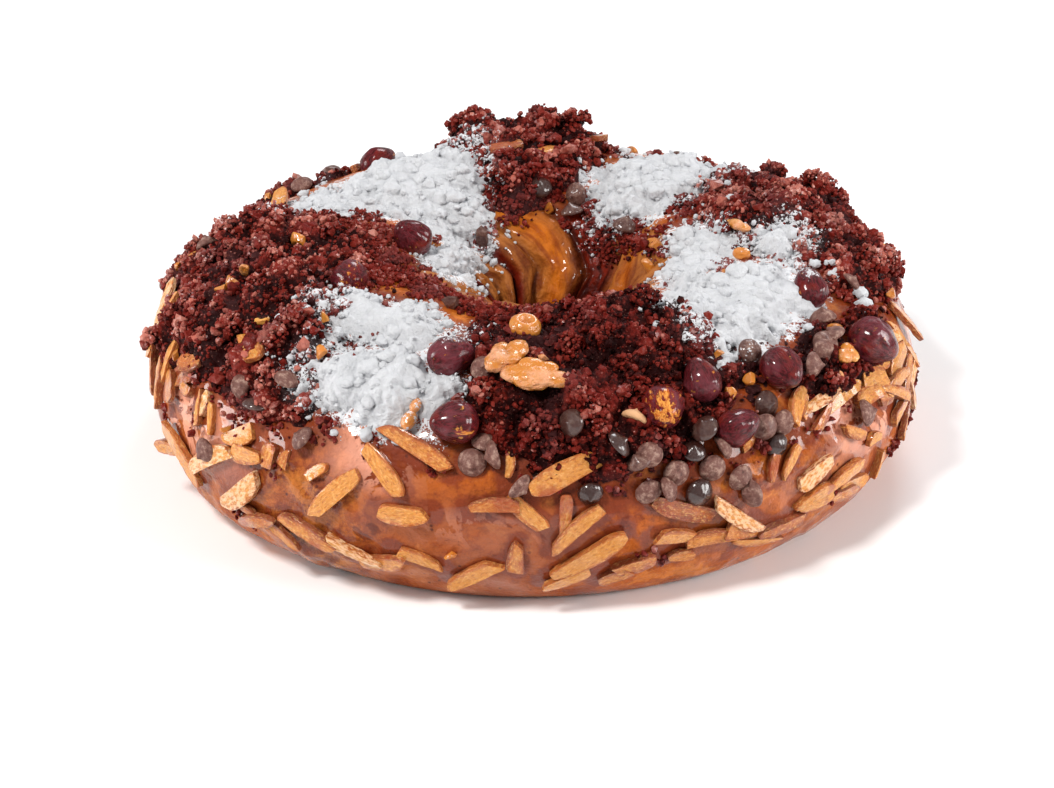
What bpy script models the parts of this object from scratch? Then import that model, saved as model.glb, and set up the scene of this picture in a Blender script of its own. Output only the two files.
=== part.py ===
"""Roscon de reyes: a ring of glazed sweet bread under heaps of chocolate crumb and icing
sugar, set with hazelnuts, caramelised nuts and toasted almond slivers.

A place on the ring is given by two angles in degrees. The turn goes round the ring from +X
through +Y. The slope goes over the dough: 0 on the outer side, 90 on the crest, 180 on the
wall of the hole, and below 0 where the side tucks under.
"""

from math import acos, atan2, copysign, cos, degrees, exp, hypot, pi, radians, sin, sqrt

import bmesh
import bpy
from mathutils import Matrix, Vector, noise

NAME = "roscon_de_reyes"

# Driving dimensions, in metres.
RING_RADIUS = 0.1275  # from the ring's centre to the widest line of its side
HOLE_RADIUS = 0.017
HOLE_OFFSET = 0.006  # the hole sits off the ring's centre, towards +X
CRUST_HEIGHT = 0.068
RING_CENTRE = Vector((-0.0005, -0.0035, 0.0))  # puts the dressed part's box over the origin
GAP = 0.0003  # left between neighbours

# The dough's section: the side is widest at this share of the height, and bulges by these
# powers of the slope's sine and cosine. FLATTEN presses the bottom level.
WIDEST = 0.42
TOP_OUT, TOP_UP = 0.92, 0.95
LOW_OUT, LOW_DOWN = 0.55, 0.85
FLATTEN = 1.22
PLEATS = 9
PLEAT_DEPTH = 0.0016

# Mesh fineness.
RING_STEPS, SECTION_STEPS = 54, 20
HEAP_SIDES, HEAP_RINGS = 14, 10
NUT_SIDES, NUT_RINGS = 8, 6
SLIVER_SIDES, SLIVER_RINGS = 6, 5

# Heaps: how far their rim and underside reach into the dough before it cuts them level.
RIM_SINK = 0.001
HEAP_ROOT = 0.004

# Each heap: name, then its middle's turn and slope, its half widths in turn and slope, its
# thickness in mm, and its lumps (turn, slope, extra mm, radius in mm).
CRUMB_HEAPS = [
    ("crumbs_front", 283, 66, 33, 43, 6.0, [(291, 93, 9, 13), (303, 82, 6, 9), (271, 62, 2, 9)]),
    ("crumbs_left", 197, 61, 43, 46, 5.5, [(175, 68, 7, 12), (174, 100, 4, 8), (208, 45, 2, 10)]),
    ("crumbs_right", 15, 66, 33, 45, 5.5, [(22, 57, 5, 9), (0, 47, 4, 8), (10, 76, 3, 10)]),
    ("crumbs_back", 92, 84, 22, 42, 6.5, [(104, 64, 13, 11), (86, 63, 8, 12)]),
    ("crumbs_nook", 329, 43, 17, 17, 3.5, [(318, 48, 2, 7)]),
    ("crumbs_far_left", 135, 28, 21, 20, 3.5, [(140, 30, 2, 10)]),
    ("crumbs_far_right", 56, 28, 19, 20, 4.0, [(50, 30, 2, 9)]),
]
SUGAR_HEAPS = [
    ("sugar_back_left", 129, 98, 27, 40, 7.5, [(118, 92, 5, 12), (140, 84, 2, 9)]),
    ("sugar_far_left", 154, 78, 13, 14, 4.0, [(150, 80, 2, 6)]),
    ("sugar_funnel", 168, 133, 27, 12, 3.5, [(158, 133, 2, 7)]),
    ("sugar_back_right", 51, 95, 19, 36, 8.0, [(50, 92, 4, 13)]),
    ("sugar_right", 352, 111, 27, 14, 4.5, [(355, 113, 2, 8)]),
    ("sugar_front_right", 323, 82, 23, 23, 8.0, [(331, 88, 4, 11), (317, 74, 3, 10)]),
    ("sugar_knob", 356, 84, 7, 9, 6.0, [(356, 84, 3, 5)]),
    ("sugar_front_left", 243, 57, 14, 19, 7.5, [(247, 60, 5, 10), (235, 44, 2, 7)]),
    ("sugar_left", 236, 82, 18, 12, 4.5, [(231, 84, 2, 7), (243, 88, 2, 6)]),
]

# Each hazelnut: turn, slope, length in mm, then how far its point leans from the crust's
# outward direction, and which way (both in degrees).
HAZELNUTS = [
    (258.7, 45, 15.5, 60, 200),
    (254.5, 70, 15, 80, 20),
    (290, 47.5, 15.5, 50, 250),
    (298.5, 55, 14.5, 60, 100),
    (300.4, 35, 14, 75, 10),
    (312.6, 50.5, 15.5, 65, 260),
    (333, 41, 18, 80, 290),
    (335.7, 69.5, 14, 50, 60),
    (212.5, 92, 15.5, 70, 340),
    (172.5, 117, 15.5, 60, 300),
    (122, 52, 15, 70, 180),
    (133, 14, 15, 60, 40),
    (109, 14, 15.5, 70, 150),
    (77, 12, 15, 60, 240),
    (58, 21, 15, 75, 20),
    (40, 12, 15, 60, 300),
]
NUT_WIDTH = 0.89  # of the nut's length

# Each caramelised nut: turn, slope, length, width and thickness in mm, heading in degrees.
CARAMEL_NUTS = [
    (268.5, 82, 9.5, 9.5, 6.5, 0),
    (272.5, 58, 15, 9, 8, 160),
    (264.5, 70, 10, 8, 7.5, 80),
    (251.5, 46, 11, 7.5, 7, 80),
    (326, 42, 10, 9, 7, 40),
    (2, 96, 14, 7, 6, 20),
]

# Each almond sliver: turn, slope, its rise to the right as seen from in front (in degrees),
# its length and width in mm.
SLIVERS = [
    (200, 12, 80, 17, 5.5),
    (211, -4, -60, 25, 7),
    (220.5, 3, 20, 23, 8),
    (226.5, -1, 38, 25, 8),
    (238, -10, -28, 20, 6),
    (242.5, 11, 42, 22, 6),
    (253, 33, -28, 25, 6.5),
    (252.5, 8, 0, 17, 6),
    (269.5, 11, -42, 17, 5.5),
    (262.5, -19, 22, 21, 5.5),
    (277.5, -8, 32, 26, 6),
    (275.5, 27, 24, 26, 7),
    (291.5, 7, -12, 22, 6.5),
    (299.5, 0, -32, 23, 6),
    (295.5, -10, 3, 18, 8),
    (307.5, -12, 22, 19, 6),
    (313.5, 6, 40, 17, 7),
    (322, 29, 42, 19, 5),
    (333, 20, 20, 15, 9),
    (345, 24, -55, 24, 6),
    (340, -3, 75, 16, 5),
]
SLIVER_THICKNESS = 0.0026
FRONT_VIEW_UP = Vector((0.0, 0.46, 0.89))  # up, for someone who looks down on the front

COLOURS = {  # base colour and roughness
    "bread": ((0.40, 0.12, 0.045, 1.0), 0.35),
    "crumb": ((0.09, 0.022, 0.018, 1.0), 0.9),
    "sugar": ((0.85, 0.85, 0.87, 1.0), 0.95),
    "hazelnut": ((0.16, 0.03, 0.035, 1.0), 0.35),
    "caramel_nut": ((0.70, 0.33, 0.10, 1.0), 0.4),
    "almond": ((0.85, 0.42, 0.16, 1.0), 0.5),
}


def swell(turn, middle, width):
    """A soft bump round the ring, 1 at its middle."""
    away = (turn - middle + 180) % 360 - 180
    return exp(-((away / width) ** 2))


def outer_radius(turn):
    angle = radians(turn)
    uneven = 0.0016 * cos(2 * angle) + 0.0008 * sin(3 * angle + 2.0)
    return RING_RADIUS + uneven + 0.0016 * swell(turn, 216, 20)


def inner_radius(turn):
    """From the ring's centre to the wall of the hole, whose own centre lies off it."""
    aside = HOLE_OFFSET * cos(radians(turn))
    return aside + sqrt(HOLE_RADIUS**2 - HOLE_OFFSET**2 + aside**2)


def crest_height(turn):
    dips = 0.003 * swell(turn, 138, 26) + 0.0015 * swell(turn, 50, 20)
    return CRUST_HEIGHT - 0.002 * sin(radians(turn)) - dips


def crust(turn, slope):
    """The point of the dough's surface at a turn and a slope."""
    outer, inner, height = outer_radius(turn), inner_radius(turn), crest_height(turn)
    middle, half = (outer + inner) / 2, (outer - inner) / 2
    across, up = cos(radians(slope)), sin(radians(slope))
    waist = WIDEST * height
    if up > 0:
        out = copysign(abs(across) ** TOP_OUT, across)
        z = waist + (height - waist) * up**TOP_UP
    else:
        out = copysign(abs(across) ** LOW_OUT, across)
        z = max(0.0, waist - FLATTEN * waist * abs(up) ** LOW_DOWN)
    angle = radians(turn)
    on_wall = max(0.0, -across) ** 1.5
    pleat = PLEAT_DEPTH * cos(PLEATS * angle + 1.5 * sin(2 * angle)) * on_wall
    radius = middle + half * out + pleat
    return RING_CENTRE + Vector((radius * cos(angle), radius * sin(angle), z))


def crust_frame(turn, slope):
    """The surface point, and unit vectors round the ring, over it towards the hole, and out."""
    step = 0.5
    point = crust(turn, slope)
    round_it = (crust(turn + step, slope) - crust(turn - step, slope)).normalized()
    over_it = crust(turn, slope + step) - crust(turn, slope - step)
    outward = round_it.cross(over_it).normalized()
    return point, round_it, outward.cross(round_it), outward


def over_crust(turn, slope, lift):
    point, _, _, outward = crust_frame(turn, slope)
    return point + outward * lift


def material(kind):
    colour, roughness = COLOURS[kind]
    made = bpy.data.materials.get(kind) or bpy.data.materials.new(kind)
    made.use_nodes = True
    shader = made.node_tree.nodes["Principled BSDF"]
    shader.inputs["Base Color"].default_value = colour
    shader.inputs["Roughness"].default_value = roughness
    shader.inputs["Metallic"].default_value = 0.0
    return made


def add_part(name, mesh, kind, matrix=None):
    """A finished solid, in the part's collection and under its empty."""
    obj = bpy.data.objects.new(name, mesh)
    parts.objects.link(obj)
    obj.parent = root
    obj.matrix_world = matrix or Matrix()
    mesh.materials.clear()
    mesh.materials.append(material(kind))
    mesh.shade_smooth()
    return obj


def add_cutter(name, mesh, matrix=None):
    """A solid that only takes its space out of a heap."""
    obj = bpy.data.objects.new(name, mesh)
    cutters.objects.link(obj)
    obj.matrix_world = matrix or Matrix()
    obj.hide_render = True
    obj.display_type = "WIRE"
    return obj


def ring_mesh(name, lift=0.0):
    """The ring of dough, lifted all over by a gap where it serves as a cutter."""
    bpy.ops.mesh.primitive_torus_add(
        major_segments=RING_STEPS,
        minor_segments=SECTION_STEPS,
        major_radius=1.0,
        minor_radius=0.5,
    )
    torus = bpy.context.object
    bm = bmesh.new()
    bm.from_mesh(torus.data)
    bpy.data.objects.remove(torus)
    for vert in bm.verts:
        x, y, z = vert.co
        turn = degrees(atan2(y, x))
        slope = degrees(atan2(z, hypot(x, y) - 1.0))
        vert.co = over_crust(turn, slope, lift)
    return to_mesh(bm, name)


def heap_mesh(spec, grow=0.0):
    """A lumpy mound over the crust, from a ball whose poles are its top and its root."""
    name, turn, slope, half_turn, half_slope, thickness, lumps = spec
    lump_points = [(crust(t, s), mm * 0.001, radius * 0.001) for t, s, mm, radius in lumps]
    bm = bmesh.new()
    bmesh.ops.create_uvsphere(bm, u_segments=HEAP_SIDES, v_segments=HEAP_RINGS, radius=1.0)
    for vert in bm.verts:
        out = acos(min(1.0, abs(vert.co.z))) / (pi / 2)
        around = atan2(vert.co.y, vert.co.x)
        lobes = 1 + 0.08 * sin(3 * around + turn) + 0.06 * sin(5 * around + slope)
        here = (
            turn + half_turn * out * lobes * cos(around),
            slope + half_slope * out * lobes * sin(around),
        )
        if vert.co.z > -0.001:
            foot = crust(*here)
            rough = 1 + 0.35 * noise.noise(foot * 90)
            rise = thickness * 0.001 * rough
            for middle, extra, radius in lump_points:
                rise += extra * exp(-(((foot - middle).length / radius) ** 2))
            lift = rise * (1 - out**3) - RIM_SINK * out**3
        else:
            lift = -RIM_SINK - HEAP_ROOT * (1 - out)
        vert.co = over_crust(*here, lift + grow)
    return to_mesh(bm, name)


def to_mesh(bm, name):
    """A mesh of triangles, so that every face is flat where a cut crosses it."""
    bmesh.ops.triangulate(bm, faces=bm.faces)
    mesh = bpy.data.meshes.new(name)
    bm.to_mesh(mesh)
    bm.free()
    return mesh


def hazelnut_mesh():
    """A nut of unit length along Z: round, a little flat at its scar, pointed on top."""
    bm = bmesh.new()
    bmesh.ops.create_uvsphere(bm, u_segments=NUT_SIDES, v_segments=NUT_RINGS, radius=0.5)
    for vert in bm.verts:
        up = vert.co.z / 0.5
        girth = NUT_WIDTH * (1 - 0.10 * up)
        vert.co.x *= girth
        vert.co.y *= girth
        vert.co.z = 0.5 * (up if up > 0 else copysign(abs(up) ** 1.25, up) * 0.92)
    return to_mesh(bm, "hazelnut")


def hazelnut_matrix(spec, grow=0.0):
    """Stands a nut on the crust, leaning as its row says."""
    turn, slope, length, lean, heading = spec
    point, round_it, over_it, outward = crust_frame(turn, slope)
    tilt, way = radians(lean), radians(heading)
    side = round_it * cos(way) + over_it * sin(way)
    axis = outward * cos(tilt) + side * sin(tilt)
    size = length * 0.001
    reach = size / 2 * hypot(cos(tilt), NUT_WIDTH * sin(tilt))
    middle = point + outward * (reach + GAP)
    turned = axis.to_track_quat("Z", "Y").to_matrix().to_4x4()
    return Matrix.Translation(middle) @ turned @ Matrix.Scale(size + 2 * grow, 4)


def caramel_nut_mesh(spec, name, grow=0.0):
    """A knobbly broken nut, lying along its heading."""
    turn, slope, length, width, thickness, heading = spec
    point, round_it, over_it, outward = crust_frame(turn, slope)
    way = radians(heading)
    along = round_it * cos(way) + over_it * sin(way)
    beside = outward.cross(along)
    size = Vector((length, width, thickness)) * 0.0005
    bm = bmesh.new()
    bmesh.ops.create_uvsphere(bm, u_segments=NUT_SIDES, v_segments=NUT_RINGS, radius=1.0)
    for vert in bm.verts:
        knobs = 1 + 0.18 * noise.noise(vert.co * 1.4 + point * 300)
        x, y, z = (vert.co[i] * (size[i] * knobs + grow) for i in range(3))
        middle = point + outward * (size.z * 1.2 + GAP)
        vert.co = middle + along * x + beside * y + outward * z
    return to_mesh(bm, name)


def sliver_mesh(spec, name, grow=0.0):
    """A pointed slice of almond laid along the crust, following its curve."""
    turn, slope, rise, length, width = spec
    step = 0.5
    point, round_it, over_it, _ = crust_frame(turn, slope)
    front_axes = (Vector((1.0, 0.0, 0.0)), FRONT_VIEW_UP)
    seen = Matrix([[axis.dot(way) for way in (round_it, over_it)] for axis in front_axes])
    mix = seen.inverted() @ Vector((cos(radians(rise)), sin(radians(rise))))
    mix.normalize()
    per_turn = (crust(turn + step, slope) - point).length / step
    per_slope = (crust(turn, slope + step) - point).length / step
    half = (length * 0.0005 + grow, width * 0.0005 + grow, SLIVER_THICKNESS / 2 + grow)
    bm = bmesh.new()
    bmesh.ops.create_uvsphere(bm, u_segments=SLIVER_SIDES, v_segments=SLIVER_RINGS, radius=1.0)
    for vert in bm.verts:
        along, beside, up = vert.co.z * half[0], vert.co.x * half[1], vert.co.y * half[2]
        go_round = along * mix.x - beside * mix.y
        go_over = along * mix.y + beside * mix.x
        here = (turn + go_round / per_turn, slope + go_over / per_slope)
        lift = SLIVER_THICKNESS / 2 + 2 * GAP + up
        vert.co = over_crust(*here, lift)
    return to_mesh(bm, name)


def boxes_meet(first, second):
    """Whether two objects' boxes, in world space, touch or overlap."""
    spans = []
    for obj in (first, second):
        corners = [obj.matrix_world @ Vector(corner) for corner in obj.bound_box]
        spans.append([(min(c[i] for c in corners), max(c[i] for c in corners)) for i in range(3)])
    return all(a[0] <= b[1] and b[0] <= a[1] for a, b in zip(*spans))


def cut(obj, tools):
    """Takes the tools' space out of a heap and keeps its largest piece."""
    near = bpy.data.collections.new(f"cuts_{obj.name}")
    cutters.children.link(near)
    for tool in tools:
        if boxes_meet(obj, tool):
            near.objects.link(tool)
    boolean = obj.modifiers.new("cut", "BOOLEAN")
    boolean.operand_type = "COLLECTION"
    boolean.collection = near
    boolean.solver = "EXACT"
    cleared = obj.evaluated_get(bpy.context.evaluated_depsgraph_get())
    bm = bmesh.new()
    bm.from_mesh(cleared.to_mesh())
    cleared.to_mesh_clear()
    obj.modifiers.clear()
    keep_largest(bm)
    bm.to_mesh(obj.data)
    bm.free()
    bpy.data.collections.remove(near)


def keep_largest(bm):
    """Deletes the crumbs that a cut leaves beside the main piece."""
    unseen = set(bm.verts)
    pieces = []
    while unseen:
        piece, edge = set(), [unseen.pop()]
        while edge:
            vert = edge.pop()
            piece.add(vert)
            beyond = {e.other_vert(vert) for e in vert.link_edges} & unseen
            unseen -= beyond
            edge.extend(beyond)
        pieces.append(piece)
    largest = max(pieces, key=len)
    spare = [vert for piece in pieces if piece is not largest for vert in piece]
    bmesh.ops.delete(bm, geom=spare, context="VERTS")


def build():
    add_part("bread", ring_mesh("bread"), "bread")
    tools = [add_cutter("bread_space", ring_mesh("bread_space", GAP))]

    nut = hazelnut_mesh()
    for number, spec in enumerate(HAZELNUTS, 1):
        add_part(f"hazelnut_{number:02d}", nut, "hazelnut", hazelnut_matrix(spec))
        space = hazelnut_matrix(spec, GAP)
        tools.append(add_cutter(f"hazelnut_{number:02d}_space", nut, space))
    for number, spec in enumerate(CARAMEL_NUTS, 1):
        name = f"caramel_nut_{number}"
        add_part(name, caramel_nut_mesh(spec, name), "caramel_nut")
        tools.append(add_cutter(f"{name}_space", caramel_nut_mesh(spec, name, GAP)))
    for number, spec in enumerate(SLIVERS, 1):
        name = f"almond_{number:02d}"
        add_part(name, sliver_mesh(spec, name), "almond")
        tools.append(add_cutter(f"{name}_space", sliver_mesh(spec, name, GAP)))

    # Heaps come last: each gives way to all that was laid before it.
    for kind, heaps in (("crumb", CRUMB_HEAPS), ("sugar", SUGAR_HEAPS)):
        for spec in heaps:
            heap = add_part(spec[0], heap_mesh(spec), kind)
            cut(heap, tools)
            tools.append(add_cutter(f"{spec[0]}_space", heap_mesh(spec, 2 * GAP)))


for old in list(bpy.data.objects):
    bpy.data.objects.remove(old)
parts = bpy.data.collections.new(NAME)
cutters = bpy.data.collections.new("cutters")
bpy.context.scene.collection.children.link(parts)
bpy.context.scene.collection.children.link(cutters)
root = bpy.data.objects.new(f"{NAME}_root", None)
parts.objects.link(root)
build()
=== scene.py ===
"""Dresses the roscon de reyes: a ring of glazed sweet bread under chocolate crumb and icing
sugar, with hazelnuts, caramelised nuts, toasted almond slivers and chocolate drops.

A place on the ring is a turn and a slope, in degrees. The turn goes round the ring from +X
through +Y. The slope goes over the dough: 0 on the outer side, 90 on the crest, 180 on the wall
of the hole, and below 0 where the side tucks under. Sizes are in metres unless they say mm.
"""

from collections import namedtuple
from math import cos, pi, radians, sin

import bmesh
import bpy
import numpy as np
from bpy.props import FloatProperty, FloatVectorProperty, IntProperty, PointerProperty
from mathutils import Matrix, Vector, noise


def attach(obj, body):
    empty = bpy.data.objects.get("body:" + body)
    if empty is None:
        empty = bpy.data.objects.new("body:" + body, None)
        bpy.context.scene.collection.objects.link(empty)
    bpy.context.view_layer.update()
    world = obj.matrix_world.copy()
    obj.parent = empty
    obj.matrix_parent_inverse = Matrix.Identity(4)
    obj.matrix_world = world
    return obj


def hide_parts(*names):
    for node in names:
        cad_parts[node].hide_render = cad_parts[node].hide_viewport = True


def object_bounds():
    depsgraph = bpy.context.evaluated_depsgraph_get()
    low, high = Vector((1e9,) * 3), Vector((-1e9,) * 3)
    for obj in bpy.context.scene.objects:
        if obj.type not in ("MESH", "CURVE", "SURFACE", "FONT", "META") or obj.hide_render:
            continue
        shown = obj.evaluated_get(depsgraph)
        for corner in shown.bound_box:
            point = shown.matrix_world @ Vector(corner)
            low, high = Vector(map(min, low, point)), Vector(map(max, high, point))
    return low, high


bl_info = {
    "name": "Roscon de Reyes Dresser",
    "version": (1, 0, 0),
    "blender": (4, 5, 0),
    "location": "View3D > Sidebar > Roscon",
    "description": "Dresses a ring of sweet bread with crumb, sugar, nuts and chocolate",
    "category": "Object",
}

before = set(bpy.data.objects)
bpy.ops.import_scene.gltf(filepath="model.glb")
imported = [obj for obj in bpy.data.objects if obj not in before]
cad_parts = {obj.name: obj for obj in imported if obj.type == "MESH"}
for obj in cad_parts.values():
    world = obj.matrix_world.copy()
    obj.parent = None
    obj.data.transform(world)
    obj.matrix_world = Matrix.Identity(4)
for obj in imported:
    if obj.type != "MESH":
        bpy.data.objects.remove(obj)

CAD_BOX = [list(corner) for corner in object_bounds()]
MM = 0.001

# The dough's form, as the frame's bread has it.
RING_RADIUS = 0.1275
HOLE_RADIUS = 0.017
HOLE_OFFSET = 0.006
CRUST_HEIGHT = 0.068
RING_CENTRE = np.array((-0.0005, -0.0035, 0.0))
WIDEST = 0.42
TOP_OUT, TOP_UP = 0.92, 0.95
LOW_OUT, LOW_DOWN = 0.55, 0.85
FLATTEN = 1.22
PLEATS = 9
PLEAT_DEPTH = 0.0016
RIM_SINK = 0.001
HEAP_ROOT = 0.004
SUGAR_REACH = 1.3  # how far sugar goes past the middle of its ragged rim
CLUMP_HEIGHT = 11.5  # of the crumb's clumps, in mm
CLUMP_SINK = 4.0  # how far the gaps between them lie below the heap, in mm
GAP = 0.0003

# Soft bumps baked into the crust: turn, slope, height in mm, radius in mm.
BLISTERS = [
    (265, 12, 1.3, 4.0), (267, 8, 0.9, 2.5), (258, 2, 0.8, 2.5), (261, -2, 0.7, 3.0),
    (256, 8, 0.7, 3.5), (272, 3, 0.6, 3.0), (247, -2, 1.0, 4.5), (233, 14, 1.0, 4.0),
    (284, 4, 0.8, 5.0), (303, 12, 1.0, 4.0), (318, 12, 1.4, 5.0), (328, 6, 1.2, 5.0),
    (205, 6, 1.2, 5.0), (150, 4, 1.2, 6.0), (110, -2, 1.4, 7.0), (75, 2, 1.0, 6.0),
    (30, 4, 1.3, 6.0), (10, 0, 1.0, 5.0), (352, 6, 1.2, 5.0), (190, 2, 1.0, 6.0),
]
# Where the ring baked darker or, below 0, more golden: turn, width in degrees, how much. The golden ones at 205 and
# 334 partly stand for painted sheen on the sides.
BAKING = [(253, 9, 0.34), (269, 7, 0.08), (285, 9, -0.28), (236, 9, 0.05), (205, 16, -0.32),
          (310, 10, -0.10), (334, 16, -0.30), (150, 25, -0.05), (95, 25, 0.04), (40, 25, -0.06)]
HOLE_TWIST = 1.2  # how many degrees the folds turn for each degree they go down the wall
HOLE_TWIST_FROM, HOLE_TWIST_TO = 114, 150  # the slopes between which they do
# Folds down the wall of the hole: turn at its top, depth in mm, width in degrees.
FOLDS = [
    (92, 4.5, 3.5), (147, 5.0, 4.5), (126, 3.0, 3.5), (166, 3.0, 4), (184, 2.5, 4), (200, 3.0, 5),
    (66, 2.5, 4), (50, 2.0, 4), (30, 2.0, 6), (8, 2.5, 6), (335, 2.5, 6), (300, 2.0, 6),
    (262, 2.5, 6), (230, 2.0, 6),
]
# Where the crust is lumpy and mottled, low down: turn, width in degrees, how much.
RUSTIC = [(238, 8, 1.0), (216, 5, 0.5), (297, 7, 0.35), (316, 6, 0.5), (190, 12, 0.7), (150, 14, 0.8),
          (112, 12, 0.7), (64, 14, 0.8), (18, 12, 0.6)]
# Where the crust is a dusky pink-brown rather than orange, partly painted pinkish sheen: turn, width in degrees, how
# much.
ROSY_SHEEN = [(262, 15, 0.7), (325, 10, 0.4), (213, 8, 0.3), (160, 16, 0.6), (70, 20, 0.5), (20, 10, 0.5)]
# Where the glaze set pale and cloudy, and at 331 and 210 painted pink sheen on the sides: turn, slope, and half width
# of each in degrees, how much.
CANDIED_AND_SHEEN = [(331, 14, 14, 17, 1.0), (246, 28, 6, 14, 1.0), (210, 12, 12, 14, 1.0), (262, 4, 12, 7, 0.25),
           (300, 4, 12, 12, 0.25), (120, 10, 20, 14, 0.8), (60, 4, 20, 12, 0.7), (10, 2, 12, 12, 0.7)]
# Where the glaze ran thick and golden down the wall, and where it caught: turn at the top, width
# in degrees.
AMBER_RUNS = [(112, 10), (50, 6)]
CARAMEL_RUNS = [(82, 15), (147, 6), (194, 6)]

# Each heap: its middle's turn and slope, its half widths in turn and slope, its thickness in
# mm, and its lumps (turn, slope, extra mm, radius in mm).
Heap = namedtuple("Heap", "name turn slope half_turn half_slope thick lumps")
CRUMB_HEAPS = [
    Heap("crumbs_front", 283, 66, 33, 43, 6.0, [(291, 93, 9, 13), (303, 82, 6, 9), (271, 62, 2, 9)]),
    Heap("crumbs_left", 197, 61, 43, 46, 5.5, [(175, 68, 7, 12), (174, 100, 4, 8), (208, 45, 2, 10)]),
    Heap("crumbs_right", 15, 66, 33, 45, 5.5, [(22, 57, 5, 9), (0, 47, 4, 8), (10, 76, 3, 10)]),
    Heap("crumbs_back", 92, 84, 22, 42, 6.5, [(104, 64, 13, 11), (86, 63, 8, 12)]),
    Heap("crumbs_nook", 329, 43, 17, 17, 3.5, [(318, 48, 2, 7)]),
    Heap("crumbs_far_left", 135, 28, 21, 20, 3.5, [(140, 30, 2, 10)]),
    Heap("crumbs_far_right", 56, 28, 19, 20, 4.0, [(50, 30, 2, 9)]),
]
SUGAR_HEAPS = [
    Heap("sugar_back_left", 129, 98, 27, 40, 7.5, [(118, 92, 5, 12), (140, 84, 2, 9)]),
    Heap("sugar_far_left", 154, 78, 13, 14, 4.0, [(150, 80, 2, 6)]),
    Heap("sugar_funnel", 168, 133, 27, 12, 3.5, [(158, 133, 2, 7)]),
    Heap("sugar_back_right", 51, 95, 19, 36, 8.0, [(50, 92, 4, 13)]),
    Heap("sugar_right", 352, 111, 27, 14, 4.5, [(355, 113, 2, 8)]),
    Heap("sugar_front_right", 323, 82, 23, 23, 8.0, [(331, 88, 4, 11), (317, 74, 3, 10)]),
    Heap("sugar_knob", 356, 84, 7, 9, 6.0, [(356, 84, 3, 5)]),
    Heap("sugar_front_left", 243, 57, 14, 19, 7.5, [(247, 60, 5, 10), (235, 44, 2, 7)]),
    Heap("sugar_left", 236, 82, 18, 12, 4.5, [(231, 84, 2, 7), (243, 88, 2, 6)]),
]
# Lumps of sugar that lie apart: turn, slope, radius in mm.
SUGAR_LUMPS = [
    (342, 50, 2.8), (345, 53, 2.0), (339, 47, 1.8), (347, 64, 2.4), (350, 67, 1.8), (349, 72, 1.6),
    (224, 82, 2.6), (227, 78, 1.8), (221, 86, 1.5), (236, 93, 2.4), (243, 92, 2.2), (248, 90, 1.6),
    (240, 97, 1.5), (218, 64, 1.6), (230, 70, 1.8), (245, 36, 2.2), (246, 30, 1.8), (240, 34, 1.6),
    (250, 36, 1.5), (331, 62, 1.8), (326, 59, 1.6), (318, 64, 1.6), (312, 90, 1.6), (150, 108, 2.0),
    (108, 50, 1.8), (146, 62, 2.0), (70, 60, 1.8), (36, 76, 2.0), (32, 84, 1.6), (20, 92, 1.8),
]
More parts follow.
